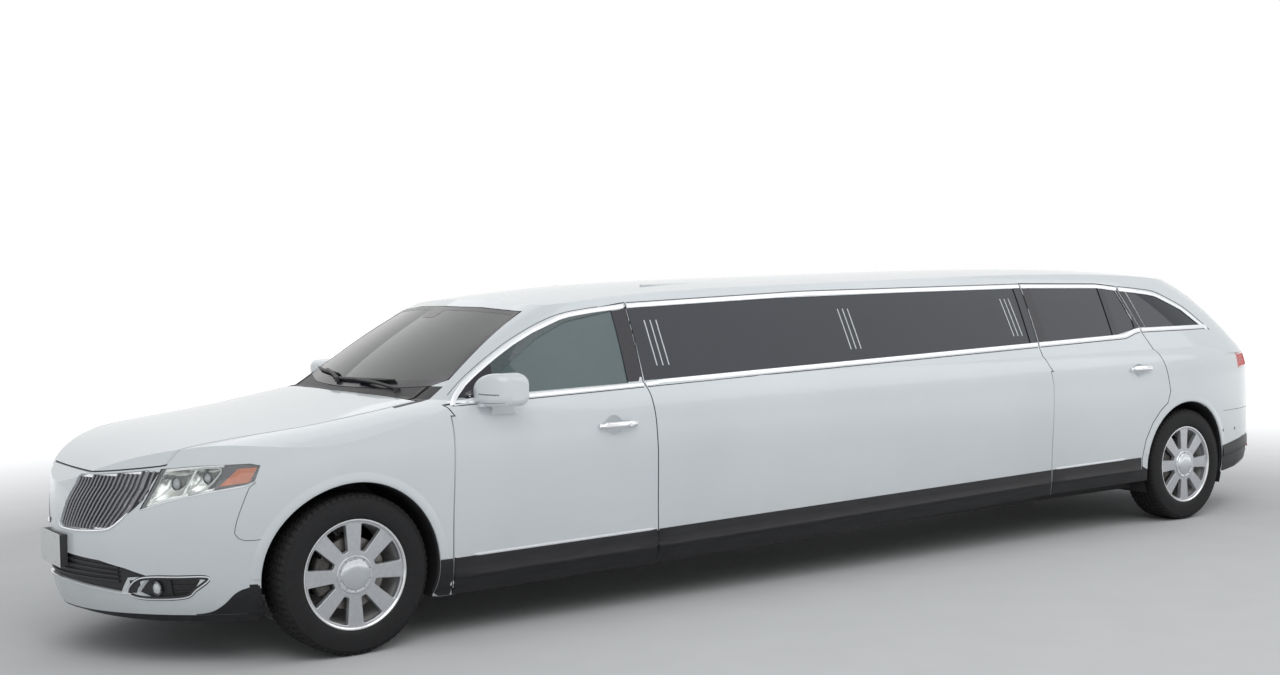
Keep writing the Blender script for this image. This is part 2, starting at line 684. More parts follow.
# Name, body, and stations of the front and rear edge, each at the belt and at the window's top
PILLAR_COVERS = (
    ("front_door_pillar", "front_door", (1.543, 1.543), (1.6360, 1.6360)),
    ("stretch_front_pillar", "body", (1.6450, 1.6450), (1.702, 1.702)),
    ("stretch_rear_pillar", "body", (4.598, 4.598), (4.6575, 4.6575)),
    ("rear_door_front_pillar", "rear_door", (4.6725, 4.6725), (4.742, 4.742)),
    ("rear_door_divider", "rear_door", (5.393, 5.393), (5.442, 5.442)),
    ("rear_door_rear_pillar", "rear_door", None, None),
    ("quarter_front_pillar", "body", None, None),
)
COVER_FOOT = CHROME_WIDE + 0.001


def upright(s_low, s_high):
    """Points up a slanted edge from the belt to the window line."""
    z0, z1 = belt(s_low) + COVER_FOOT, window_top(s_high) - COVER_FOOT
    return [(s_low + (s_high - s_low) * t, z0 + (z1 - z0) * t) for t in spread(0, 1, 9)]


def beside_edge(shift, station):
    """Points up the rear door's rear edge, moved back by a shift, from the belt at a station."""
    foot = (rear_door_edge(belt(5.70) + COVER_FOOT) + shift, belt(station) + COVER_FOOT)
    return [foot] + [(rear_door_edge(z) + shift, z) for z in EDGE_HEIGHTS]


def pillar_patches():
    """Gloss black covers over the pillars between the windows."""
    for word, side in SIDES:
        for name, base, first, last in PILLAR_COVERS:
            if name == "rear_door_rear_pillar":
                a = [(5.598, belt(5.598) + COVER_FOOT)]
                a += [(rear_door_edge(z) - width, z) for z, width in zip(EDGE_HEIGHTS, DOOR_COVER_WIDTHS)]
                b = beside_edge(-0.0030, 5.70)
            elif name == "quarter_front_pillar":
                a, b = beside_edge(0.0100, 5.72), beside_edge(0.062, 5.77)
            else:
                a, b = upright(*first), upright(*last)
            rows = []
            for start, end in zip(a, b):
                rows.append(mended([side_hit(*between(start, end, t), side) for t in spread(0, 1, 4)]))
            material = "dark_glass" if name.startswith("stretch") else "gloss_black"
            skin_patch(name + "_" + word, rows, rider(base, word), material, edge=0.002)


STRIPES = (((1.772, 1.466), (1.787, 1.233)), ((3.130, 1.488), (3.150, 1.260)),
           ((4.486, 1.512), (4.510, 1.283)))


def darken_pillar_edges():
    """The panels' narrow edges beside the shut lines of the pillars are black."""
    def beside_window(corner, s0, s1):
        station = AXLE_X - corner.x
        return s0 < station < s1 and belt(station) + 0.020 < corner.z < window_top(station) - 0.012

    for name, node in nodes.items():
        if name == "stretch_panels" or name.startswith(("front_door", "rear_door")) and "glass" not in name:
            for polygon in node.data.polygons:
                corners = [node.data.vertices[i].co for i in polygon.vertices]
                for s0, s1 in ((1.585, 1.700), (4.600, 4.730)):
                    if all(beside_window(corner, s0, s1) for corner in corners):
                        polygon.material_index = 1


def pinstripes():
    """Three groups of three pale slanted lines on the long side glass."""
    for word, side in SIDES:
        for group, (high, low) in enumerate(STRIPES):
            for k in range(3):
                shift = 0.038 * (k - 1)
                line = side_line([(low[0] + shift, low[1]), (high[0] + shift, high[1])], side)
                line = [(place - normal * (GLASS_SINK - 0.0004), normal) for place, normal in line]
                strip("pinstripe_%d_%d_%s" % (group, k, word), line, 0.007, 0.0006, "body", "pale_stripe")


SILL_TOP = ((0.42, 0.388), (1.68, 0.402), (4.68, 0.448), (5.60, 0.455))
SILL_FOOT = ((0.42, 0.210), (1.68, 0.226), (3.0, 0.254), (4.70, 0.296), (5.60, 0.303))


def sill_top(station):
    """Height of the line where white paint meets the black cladding."""
    return height_at(SILL_TOP, station)


def sill_foot(station):
    return height_at(SILL_FOOT, station)


CLADDING_SHARES = (0.0, 0.06, 0.22, 0.38, 0.47, 0.52, 0.56, 0.70, 0.86, 1.0)
CLADDING_LIFTS = (0.0015, 0.0035, 0.0055, 0.011, 0.018, 0.0185, 0.010, 0.006, 0.004, 0.0015)


def cladding():
    """Black panels along the sills, with a step half way down, and bright strips on the doors."""
    runs = (("front_door", 0.500, 1.670), ("body", 1.6835, 4.6818), ("rear_door", 4.6915, 5.556))
    for word, side in SIDES:
        for index, (base, s0, s1) in enumerate(runs):
            body = rider(base, word)
            stations = spread(s0, s1, max(6, int((s1 - s0) / 0.06)))
            top = [(s, sill_top(s)) for s in stations]
            foot = [(s, sill_foot(s) + 0.0004) for s in stations]
            rows = side_grid(top, foot, CLADDING_SHARES, side)
            ends = [min(1.0, 0.15 + 0.85 * min(s - s0, s1 - s) / 0.05) for s in stations]
            lifts = [[0.0015 + (lift - 0.0015) * e for e in ends] for lift in CLADDING_LIFTS]
            skin_patch("sill_cladding_%d_%s" % (index, word), rows, body, "sill_plastic", lifts=lifts,
                       sharp=16)
            if base != "body":
                first, last = (0.600, 1.655) if index == 0 else (4.716, 5.395)
                line = side_line([(s, sill_top(s) + 0.004) for s in spread(first, last, 12)], side)
                strip("sill_bright_strip_%d_%s" % (index, word), line, 0.013, 0.006, body, "satin_chrome",
                      taper=1)


ARCH_R = 0.425


def arch_lining():
    """Dark lips inside the wheel arches."""
    section = ((0.4205, 0.012), (0.4205, 0.30), (0.4185, 0.30), (0.4185, 0.014))
    low = math.radians(-22)
    for word, side in SIDES:
        for end, station in (("front", 0.0), ("rear", REAR)):
            verts = []
            for angle in spread(low, math.pi - low, 49):
                c, s = math.cos(angle), math.sin(angle)
                hit = side_hit(station - ARCH_R * c, max(0.24, AXLE_Z + ARCH_R * s), side)
                y = abs(hit[0].y) if hit else 0.93
                verts += [(at(station) + radius * c, side * (y - depth), AXLE_Z + radius * s)
                          for radius, depth in section]
            faces = ring_faces(49, 4, caps=False)
            finish_mesh("%s_arch_lining_%s" % (end, word), verts, faces, "body", "black_plastic")


SCREEN_EDGE = ((0.0, 1.162), (0.400, 1.166), (0.708, 1.186), (0.758, 1.216), (0.700, 1.372), (0.638, 1.527),
               (0.340, 1.547), (0.0, 1.553))
SCREEN_TERMS = [(i, j) for i in range(5) for j in range(3)]
SCREEN_MIDDLE = 1.36


def solved(table, goal):
    """Gaussian elimination for the small table of a least squares fit."""
    size = len(goal)
    rows = [list(line) + [value] for line, value in zip(table, goal)]
    for i in range(size):
        pivot = max(range(i, size), key=lambda k: abs(rows[k][i]))
        rows[i], rows[pivot] = rows[pivot], rows[i]
        for k in range(size):
            if k != i:
                share = rows[k][i] / rows[i][i]
                rows[k] = [b - share * a for a, b in zip(rows[i], rows[k])]
    return [rows[i][size] / rows[i][i] for i in range(size)]


def screen_terms(y, z):
    return [(y / 0.75) ** (2 * i) * ((z - SCREEN_MIDDLE) / 0.2) ** j for i, j in SCREEN_TERMS]


def screen_fit():
    """Factors of a smooth face through the outside of the windscreen."""
    tree = tree_of(["windscreen"])
    samples = []
    for z in spread(1.175, 1.535, 25):
        for y in spread(0.0, 0.745 - 0.36 * max(0.0, z - 1.216), 30):
            hit = front_hit(y, z, tree)
            if hit and hit[1].x > 0.05:
                samples.append((screen_terms(y, z), hit[0].x))
    size = len(SCREEN_TERMS)
    table = [[sum(terms[i] * terms[j] for terms, _ in samples) for j in range(size)] for i in range(size)]
    return solved(table, [sum(terms[i] * x for terms, x in samples) for i in range(size)])


SCREEN_FACTORS = screen_fit()


def screen_hit(y, z, lift=0.0):
    """A place on the smooth face of the windscreen and the outward normal."""
    def reach(y, z):
        return sum(a * b for a, b in zip(SCREEN_FACTORS, screen_terms(y, z)))
    step = 0.002
    slope_y = (reach(y + step, z) - reach(y - step, z)) / (2 * step)
    slope_z = (reach(y, z + step) - reach(y, z - step)) / (2 * step)
    normal = Vector((1, -slope_y, -slope_z)).normalized()
    return Vector((reach(y, z), y, z)) + normal * lift, normal


def screen_edge(y, edge):
    return height_at(edge, min(abs(y), edge[-1][0]))


def screen_pane():
    """The windscreen as one smooth laminated pane."""
    foot, head = SCREEN_EDGE[:4], tuple(reversed(SCREEN_EDGE[5:]))
    across, high = 49, 25
    outer = []
    for v in spread(0, 1, high):
        half = 0.758 + (0.638 - 0.758) * v
        row = []
        for u in spread(-1, 1, across):
            low, top = screen_edge(u * half, foot), screen_edge(u * half, head)
            row.append(screen_hit(u * half, low + (top - low) * v, 0.0002))
        outer.append(row)
    pane = sheet("windscreen_pane", outer, 0.005, "screen_glass", 50)
    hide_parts("windscreen")


def screen_border():
    """Printed black border on the windscreen, deeper along its foot, and the sensor patch at its head."""
    edge = straight_points(SCREEN_EDGE, 0.02)
    for word, side in SIDES:
        rows = []
        for share in (0.0, 0.35, 0.7, 1.0):
            reach = [(y, z, (SCREEN_MIDDLE - z) * (0.17 if z < 1.25 else 0.085) * share) for y, z in edge]
            rows.append([screen_hit(side * y * (1 - 0.035 * share), z + inward) for y, z, inward in reach])
        skin_patch("screen_border_" + word, rows, "body", "gloss_black", lifts=0.0008, edge=0.0)
    rows = [[screen_hit(y * (1 - 0.3 * t), 1.552 - 0.055 * t) for y in spread(-0.085, 0.085, 7)]
            for t in spread(0, 1, 4)]
    skin_patch("screen_sensor_patch", rows, "body", "gloss_black", lifts=0.0009, edge=0.0)


# Section of an arch's rim as radius and height over the skin, and the radius of the panel's opening
ARCH_OPEN = 0.4245
ARCH_LIP = ((0.4212, -0.003), (0.4235, 0.0035), (0.4300, 0.0055), (0.4420, 0.0050), (0.4560, 0.0022),
            (0.4700, -0.0006))


def arch_lips():
    """The raised rim of each wheel arch."""
    for word, side in SIDES:
        for end, station, low, high in (("front", 0.0, 3, 177), ("rear", REAR, 13, 167)):
            angles = spread(math.radians(low), math.radians(high), 66)
            rows = []
            for radius, _ in ARCH_LIP:
                reach = max(radius, ARCH_OPEN)
                row = mended([side_hit(station + reach * math.cos(a), AXLE_Z + reach * math.sin(a), side)
                              for a in angles])
                for i, (place, normal) in enumerate(row):
                    centre = Vector((at(station), place.y, AXLE_Z))
                    row[i] = (place + (centre - place).normalized() * (reach - radius), normal)
                rows.append(row)
            lifts = [lift for _, lift in ARCH_LIP]
            skin_patch("%s_arch_lip_%s" % (end, word), rows, "body", "paint", lifts=lifts, edge=0.0,
                       sharp=50)


# Front openings on the left half, as (y, z)
GRILLE_INNER = ((0.082, 0.622), (0.138, 0.722), (0.203, 0.803), (0.280, 0.985))
GRILLE_OUTER = ((0.440, 0.622), (0.508, 0.712), (0.553, 0.803), (0.592, 0.985))
GRILLE_LOWER = ((0.075, 0.622), (0.110, 0.606), (0.243, 0.604), (0.387, 0.615), (0.434, 0.633),
                (0.475, 0.673), (0.508, 0.712))
BONNET_LINE = ((-1.200, 0.862), (-0.985, 0.868), (-0.779, 0.901), (-0.700, 0.917), (-0.400, 0.965),
               (0.500, 1.010))
FOG = ((0.520, 0.340), (0.560, 0.316), (0.677, 0.322), (0.715, 0.353), (0.735, 0.400), (0.675, 0.404),
       (0.560, 0.396))
INTAKE_LOW = ((0.0, 0.374), (0.159, 0.366), (0.344, 0.350), (0.455, 0.336))
BAR_SECTION = ((-0.5, 0.0), (-0.5, 0.80), (-0.30, 1.0), (0.30, 1.0), (0.5, 0.80), (0.5, 0.0))
GRILLE_BARS = 17


def along_line(points, value, key=1, want=0):
    """The other coordinate of a line at a value of one."""
    for a, b in zip(points, points[1:]):
        if min(a[key], b[key]) <= value <= max(a[key], b[key]):
            share = (value - a[key]) / ((b[key] - a[key]) or 1)
            return a[want] + (b[want] - a[want]) * share
    near = points[0] if abs(value - points[0][key]) < abs(value - points[-1][key]) else points[-1]
    return near[want]


def front_line(points, side, step=0.02, smooth=True, tree=None, closed=False):
    places = curve_points(points, step, closed) if smooth else straight_points(points, step)
    return mended([front_hit(side * y, z, tree) for y, z in places])


def under_bonnet(hit, gap):
    """Whether a hit on the nose lies at least a gap below the bonnet's edge."""
    return hit[0].z < along_line(BONNET_LINE, AXLE_X - hit[0].x - 0.015, 0, 1) - gap


def outer_reach(z):
    """How far the grille goes on beyond its opening, towards the headlamp."""
    return 0.004 + 0.076 * min(1.0, (z - 0.668) / 0.20)


def upper_grille():
    """Upright bars over a black backing, and the bright line round the lower edge."""
    tree = tree_of(["upper_grille"])
    for word, side in SIDES:
        for k in range(GRILLE_BARS):
            share = (k + 0.55) / GRILLE_BARS
            line = []
            for step in range(27):
                z = 0.609 + 0.012 * step
                inner, outer = along_line(GRILLE_INNER, z), along_line(GRILLE_OUTER, z)
                hit = front_hit(side * (inner + (outer - inner) * share), z, tree)
                if hit and hit[1].x >= 0.05 and under_bonnet(hit, 0.019):
                    line.append(hit)
            if len(line) > 3:
                strip("grille_bar_%02d_%s" % (k, word), line, 0.0105, 0.0135, "body", "grille_bar",
                      profile=BAR_SECTION)
        # the grille's outermost part, beside the headlamp
        rows = []
        for z in spread(0.668, 0.925, 16):
            edge = along_line(GRILLE_OUTER, z) - 0.008
            row = mended([front_hit(side * (edge + (outer_reach(z) + 0.008) * t), z)
                          for t in spread(0, 1, 6)])
            if under_bonnet(row[3], 0.012):
                rows.append(row)
        skin_patch("grille_side_backing_" + word, rows, "body", "black_plastic")
        for k in range(4):
            line = []
            for z in spread(0.670, 0.925, 22):
                out = 0.0206 * (k + 0.35)
                hit = front_hit(side * (along_line(GRILLE_OUTER, z) + out), z)
                if out < outer_reach(z) - 0.004 and hit and under_bonnet(hit, 0.016):
                    line.append(hit)
            if len(line) > 3:
                strip("grille_side_bar_%d_%s" % (k, word), line, 0.0105, 0.006, "body", "grille_bar",
                      profile=BAR_SECTION)
        low = [(0.062, 0.630), (0.082, 0.606)] + [(y, z - 0.0045) for y, z in GRILLE_LOWER[1:5]]
        low += [(0.480, 0.668), (0.514, 0.708)]
        strip("grille_lower_strip_" + word, front_line(low, side), 0.010, 0.005, "body", "chrome", taper=2)


LAMP_LOW = ((-0.850, 0.708), (-0.753, 0.752), (-0.624, 0.786), (-0.473, 0.814), (-0.440, 0.826))
LAMP_TOP = ((-0.770, 0.888), (-0.637, 0.901), (-0.540, 0.9045), (-0.454, 0.906), (-0.417, 0.897))
CLEAR_END = 0.62
# The frame that ends the clear part, as shares of the lamp's length and height
LAMP_FRAME = ((0.30, 0.90), (0.45, 0.91), (0.56, 0.90), (0.605, 0.84), (0.615, 0.70), (0.60, 0.50),
              (0.575, 0.30), (0.545, 0.12), (0.50, 0.06), (0.40, 0.05))


def at_share(points, share):
    """Point at a share of a line's length."""
    total = sum(math.dist(a, b) for a, b in zip(points, points[1:]))
    left = share * total
    for a, b in zip(points, points[1:]):
        run = math.dist(a, b)
        if left <= run:
            return between(a, b, left / run)
        left -= run
    return points[-1]


def lamp_hit(u, t, side, tree):
    """The headlamp's skin at shares of its length and its height."""
    station, height = between(at_share(LAMP_LOW, u), at_share(LAMP_TOP, u), t)
    return side_hit(station, height, side, tree)


def lamp_grid(columns, rows, side, tree, margin=0.012):
    return [mended([lamp_hit(0.008 + 0.984 * u, t, side, tree) for u in spread(0.0, 1.0, columns)])
            for t in spread(margin, 1 - margin, rows)]


def bowl_depth(u, t):
    """Depth of the housing behind the lens: two bowls between narrow ledges."""
    if not 0.05 < u < CLEAR_END or not 0.10 < t < 0.90:
        return 0.007
    for u0, u1, deepest in ((0.05, 0.33, 0.060), (0.36, CLEAR_END, 0.050)):
        if u0 <= u <= u1:
            a, b = (u - u0) / (u1 - u0) * 2 - 1, (t - 0.10) / 0.80 * 2 - 1
            bowl = max(0.0, 1 - abs(a) ** 3.5) * max(0.0, 1 - abs(b) ** 3.5)
            return 0.007 + deepest * bowl ** 0.55
    return 0.010


def lamp_housing(word, side, tree):
    """The bright bowls behind the lens and the grey surround at both ends."""
    columns, rows = 90, 28
    fine = lamp_grid(columns, rows, side, tree)
    for name, material, low, high in (("headlamp_bowls", "reflector", 0.035, CLEAR_END + 0.005),
                                      ("headlamp_surround", "lamp_grey", CLEAR_END + 0.002, 1.0),
                                      ("headlamp_inner_edge", "lamp_grey", 0.0, 0.038)):
        first, last = int(low * (columns - 1)), min(columns - 1, int(high * (columns - 1)) + 1)
        verts = []
        for i, row in enumerate(fine):
            for j in range(first, last + 1):
                place, normal = row[j]
                verts.append(place - normal * bowl_depth(j / (columns - 1), i / (rows - 1)))
        faces = grid_faces(rows, last - first + 1)
        finish_mesh(name + "_" + word, verts, faces, "body", material, sharp=40)


def lamp_inside(word, side, tree):
    """The pale frame that ends the clear part, the amber tip and the lamps in the bowls."""
    frame_line = []
    for u, t in LAMP_FRAME:
        place, normal = lamp_hit(u, t, side, tree)
        frame_line.append((place - normal * 0.008, normal))
    strip("headlamp_frame_" + word, frame_line, 0.008, 0.004, "body", "pale_frame")
    amber = []
    for t in spread(0, 1, 7):
        a = between((-0.577, 0.8085), (-0.500, 0.8850), t)
        b = between((-0.462, 0.8235), (-0.428, 0.8880), t)
        row = mended([side_hit(*between(a, b, v), side, tree) for v in spread(0, 1, 9)])
        amber.append([(place - normal * 0.0065, normal) for place, normal in row])
    skin_patch("headlamp_amber_" + word, amber, "body", "amber_lens", lifts=0.0022, edge=0.0)
    for u, t, radius in ((0.20, 0.52, 0.026), (0.49, 0.55, 0.022)):
        place, normal = lamp_hit(u, t, side, tree)
        ahead = (normal + Vector((1.2, 0, 0))).normalized()
        projector("headlamp_projector_%d_%s" % (u * 100, word), place - normal * 0.034, ahead, radius)


def headlamps():
    """Clear lens over two bright bowls, a grey surround and an amber tip."""
    tree = tree_of(["headlamps"])
    lenses = []
    for word, side in SIDES:
        whole = lamp_grid(40, 14, side, tree)
        lenses.append(sheet("headlamp_lens_" + word, whole, 0.0025, "lamp_lens", 60))
        lamp_housing(word, side, tree)
        lamp_inside(word, side, tree)
        edge = [(s, z - 0.005) for s, z in LAMP_LOW]
        strip("headlamp_lower_strip_" + word, side_line(edge, side, 0.02), 0.005, 0.003, "body", "chrome",
              taper=2)
    for lens in lenses:
        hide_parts("headlamps")


def projector(name, place, direction, radius):
    """A short bezel ring with a glass dome, facing a direction."""
    ring = ((1, -0.012), (1.16, -0.006), (1.16, 0.004), (1.02, 0.006), (0.96, 0.0))
    dome = ((0, 0.010), (0.45, 0.0085), (0.8, 0.004), (0.97, -0.004), (0.6, -0.010), (0, -0.010))
    for suffix, outline, material in (("ring", ring, "dark_chrome"), ("dome", dome, "bulb_glass")):
        outline = [(radius * share or 0.0005, height) for share, height in outline]
        faced(name + "_" + suffix, outline, place, direction, "body", material)


def grown(line, centre, share_y, share_z):
    """An outline drawn out from its centre, or in where a share is negative."""
    return [(y + (y - centre[0]) * share_y, z + (z - centre[1]) * share_z) for y, z in line]


def bumper_openings():
    """Ribs of the lower intake, and fog lamps with their bright frames."""
    intake = tree_of(["lower_grille"])
    fog = tree_of(["fog_pockets"])
    for row, (z0, z1) in enumerate(((0.392, 0.384), (0.416, 0.404), (0.440, 0.424), (0.464, 0.444))):
        line = [front_hit(y, z0 + (z1 - z0) * (abs(y) / 0.44) ** 2, intake)
                for y in spread(-0.44, 0.44, 45)]
        line = [hit for hit in line if hit and hit[1].x > 0.2]
        strip("intake_rib_%d" % row, line, 0.011, 0.010, "body", "black_plastic", profile=BAR_SECTION)
    centre = (sum(y for y, _ in FOG) / len(FOG), sum(z for _, z in FOG) / len(FOG))
    ring = [(y if y < 0.72 else y + 0.018, z + 0.003 * (z > 0.39))
            for y, z in grown(FOG, centre, 0.05, 0.11)]
    ring = [(y - 0.35 * max(0.0, 0.60 - y), z) for y, z in ring]
    dark = grown(ring, centre, -0.03, -0.05)
    low = [(y, z - 0.005) for y, z in INTAKE_LOW] + [(0.500, 0.333)]
    for word, side in SIDES:
        patch = []
        for y in spread(0.498, 0.540, 5):
            heights = spread(0.336, 0.394 - 0.1 * max(0.0, 0.515 - y), 6)
            patch.append(mended([front_hit(side * y, z) for z in heights]))
        skin_patch("fog_inner_corner_" + word, patch, "body", "black_plastic", lifts=0.0010, edge=0.001)
        strip("fog_frame_" + word, front_line(ring, side, 0.012, closed=True), 0.0065, 0.006, "body",
              "satin_chrome", closed=True)
        strip("fog_surround_" + word, front_line(dark, side, 0.012, closed=True), 0.020, 0.0012, "body",
              "black_plastic", closed=True)
        strip("intake_lower_strip_" + word, front_line(low, side), 0.007, 0.004, "body", "satin_chrome",
              taper=2)
        for k, z in enumerate((0.346, 0.372)):
            line = [front_hit(side * y, z + (y - 0.64) * 0.05, fog) for y in spread(0.642, 0.712, 9)]
            line = [hit for hit in line if hit and hit[1].x > 0.1]
            if len(line) > 2:
                strip("fog_rib_%d_%s" % (k, word), line, 0.006, 0.010, "body", "black_plastic",
                      profile=BAR_SECTION)
        line = mended([front_hit(side * 0.634, z, fog) for z in spread(0.325, 0.394, 6)])
        strip("fog_divider_" + word, line, 0.007, 0.012, "body", "black_plastic", profile=BAR_SECTION)
        place, normal = front_hit(side * 0.585, 0.358, fog)
        projector("fog_lamp_" + word, place + normal * 0.006, (normal + Vector((1.0, 0, 0))).normalized(),
                  0.029)


def seams():
    """Fine dark lines where fixed panels meet."""
    for word, side in SIDES:
        joint = [(-0.436, 0.822), (-0.460, 0.802), (-0.490, 0.725), (-0.513, 0.651), (-0.521, 0.600),
                 (-0.508, 0.578), (-0.482, 0.567), (-0.440, 0.567), (-0.383, 0.571)]
        strip("bumper_seam_" + word, side_line(joint, side, 0.02), 0.0028, 0.0004, "body", "seam",
              lift=0.0002)
        tail = [(REAR + 0.424, 0.702), (REAR + 0.55, 0.701), (REAR + 0.75, 0.701), (REAR + 0.90, 0.700)]
        strip("tail_bumper_seam_" + word, side_line(tail, side, 0.03), 0.0028, 0.0004, "body", "seam",
              lift=0.0002)


def black_lower_edges():
    """Black wedges ahead of and behind the front arch, and the black lower part of the tail."""
    for word, side in SIDES:
        top = [(-0.655, 0.241), (-0.622, 0.245), (-0.590, 0.258), (-0.556, 0.290), (-0.524, 0.330),
               (-0.494, 0.350), (-0.455, 0.360), (-0.4235, 0.364)]
        top = curve_points(top, 0.015)
        foot = [(s + max(0.0, (s + 0.44)) * 1.1, 0.2385) for s, _ in top]
        rows = side_grid(foot, top, spread(0, 1, 7), side)
        skin_patch("front_wedge_" + word, rows, "body", "sill_plastic",
                   lifts=[0.003, 0.003, 0.003, 0.003, 0.003, 0.002, 0.0012])
        rows = []
        for z in spread(0.2125, 0.389, 10):
            edge = math.sqrt(0.4235 ** 2 - (z - AXLE_Z) ** 2)
            rows.append(mended([side_hit(s, z, side) for s in spread(edge, 0.4885, 6)]))
        skin_patch("front_rear_wedge_" + word, rows, "body", "sill_plastic", lifts=[0.003] * 9 + [0.0012])


def under_lip():
    """Black lip under the front bumper."""
    verts = []
    for y in spread(-0.83, 0.83, 90):
        hit = front_hit(y, 0.2405)
        if hit is None or hit[1].x < 0.12:
            continue
        place, normal = hit
        inward = Vector((normal.x, normal.y, 0)).normalized()
        drop = Vector((place.x, place.y, 0.205 + 0.028 * max(0.0, 1 - abs(y) / 0.55)))
        verts += [place - inward * 0.006, place - inward * 0.007 + Vector((0, 0, -0.012)),
                  drop - inward * 0.016, drop - inward * 0.030, place - inward * 0.045]
    finish_mesh("under_lip", verts, ring_faces(len(verts) // 5, 5), "body", "sill_plastic", sharp=25)


def front_plate():
    """Screws and a raised border on the blank plate; its bracket is black."""
    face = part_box("front_plate")[1][0]
    node = nodes["front_plate"]
    node.data.materials.append(MATERIALS["black_plastic"])
    for polygon in node.data.polygons:
        if polygon.center.x < face - 0.0032:
            polygon.material_index = 1
    for index, (y, z) in enumerate(((-0.0889, 0.556), (0.0889, 0.556), (-0.0889, 0.444), (0.0889, 0.444))):
        turned("plate_screw_%d" % index, ((0.0002, 0.0), (0.0062, 0.0), (0.0062, 0.0012), (0.0045, 0.0022),
                                          (0.0002, 0.0026)), (face - 0.0022, y, z), "body", "steel_bright",
               steps=20, axis="X")
    ring = [(-0.146, 0.431), (0.146, 0.431), (0.146, 0.569), (-0.146, 0.569)]
    line = [(Vector((face, y, z)), Vector((1, 0, 0)))
            for y, z in straight_points(ring + ring[:1], 0.02)[:-1]]
    strip("plate_border", line, 0.004, 0.0004, "body", "plate", closed=True,
          profile=((-0.5, -0.2), (-0.25, 1.0), (0.25, 1.0), (0.5, -0.2)))


# Wheels
TREAD_PITCHES = 68
TYRE_R = AXLE_Z
TREAD_HALF = 0.088
CUBE_FACES = ((4, 5, 6, 7), (0, 1, 5, 4), (1, 2, 6, 5), (2, 3, 7, 6), (3, 0, 4, 7), (3, 2, 1, 0))
SPOKES = 8
# Section of a brake caliper over its disc: radius, offset
CALIPER = ((0.118, 0.008), (0.180, 0.008), (0.186, 0.014), (0.186, 0.056), (0.180, 0.064), (0.122, 0.064),
           (0.118, 0.058), (0.118, 0.052), (0.171, 0.052), (0.171, 0.016), (0.118, 0.016))
# Inner and outer corner of a hole: distance out along its middle, half width
HOLE_CORNERS = ((0.1070, 0.0140), (0.2295, 0.0545))
FACE_RADIUS, CAP_SEAT = 0.2400, 0.088
FACE_Y, LIP_Y = 0.0965, 0.1075
# Root and tip of the tyre's valve: radius, offset
VALVE = ((0.222, 0.070), (0.205, 0.094))
# Cross outline of a tyre's outside: radius, offset from its middle plane
TYRE_SIDE = ((0.2445, 0.1015), (0.2500, 0.1055), (0.2575, 0.1080), (0.2615, 0.1115), (0.2700, 0.1145),
             (0.2900, 0.1168), (0.3120, 0.1170), (0.3300, 0.1150), (0.3420, 0.1118), (0.3445, 0.1120),
             (0.3480, 0.1085), (0.3560, 0.1035))


def tyre_blocks(name, centre, body):
    """Tread of a road tyre: ribs cut by slanted grooves, with blocks running down the shoulders."""
    verts, faces = [], []
    ribs = ((-0.0880, -0.0560), (-0.0500, -0.0200), (-0.0140, 0.0140), (0.0200, 0.0500), (0.0560, 0.0880))
    pitch = math.tau / TREAD_PITCHES

    def crown(offset):
        share = abs(offset) / TREAD_HALF
        return TYRE_R - 0.0004 - 0.0030 * share ** 3

    def add_block(outline, slant, start, span):
        """A block standing on the tread from its outline of (radius, offset) points."""
        base = len(verts)
        count = len(outline)
        for share in (0.0, 1.0):
            for radius, offset in outline:
                angle = start + span * share + slant * offset
                verts.append(Vector((centre[0] + radius * math.cos(angle), centre[1] + offset,
                                     centre[2] + radius * math.sin(angle))))
        for k in range(count):
            m = (k + 1) % count
            faces.append((base + k, base + m, base + count + m, base + count + k))
        faces.append(tuple(base + k for k in range(count)))
        faces.append(tuple(base + count + k for k in range(count)))

    for k in range(TREAD_PITCHES):
        start = k * pitch
        for index, (low, high) in enumerate(ribs):
            middle = (low + high) / 2
            inner = [(crown(low) - 0.008, low), (crown(low) - 0.0008, low), (crown(middle), middle),
                     (crown(high) - 0.0008, high), (crown(high) - 0.008, high)]
            slant = (1.6, 0.9, 0.0, -0.9, -1.6)[index]
            add_block(inner, slant, start, pitch * (0.80 if index != 2 else 0.90))
        for side in (1, -1):
            shoulder = [(0.3470, side * 0.1060), (0.3490, side * 0.1108), (0.3590, side * 0.1050),
                        (0.3668, side * 0.0930), (0.3590, side * 0.0890)]
            add_block(shoulder, -side * 1.2, start, pitch * 0.66)
    return finish_mesh(name, verts, faces, body, "tyre", sharp=24)


def tyre_body(name, centre, body, node):
    outline = list(TYRE_SIDE) + [(0.3585, 0.0960), (0.3620, 0.0880), (0.3625, 0.0), (0.3620, -0.0880),
                                 (0.3585, -0.0960)]
    outline += [(r, -o) for r, o in reversed(TYRE_SIDE)]
    outline += [(0.2420, -0.0950), (0.2420, 0.0950)]
    piece = turned(name, outline, centre, body, "tyre", steps=120, sharp=40)
    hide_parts(node)


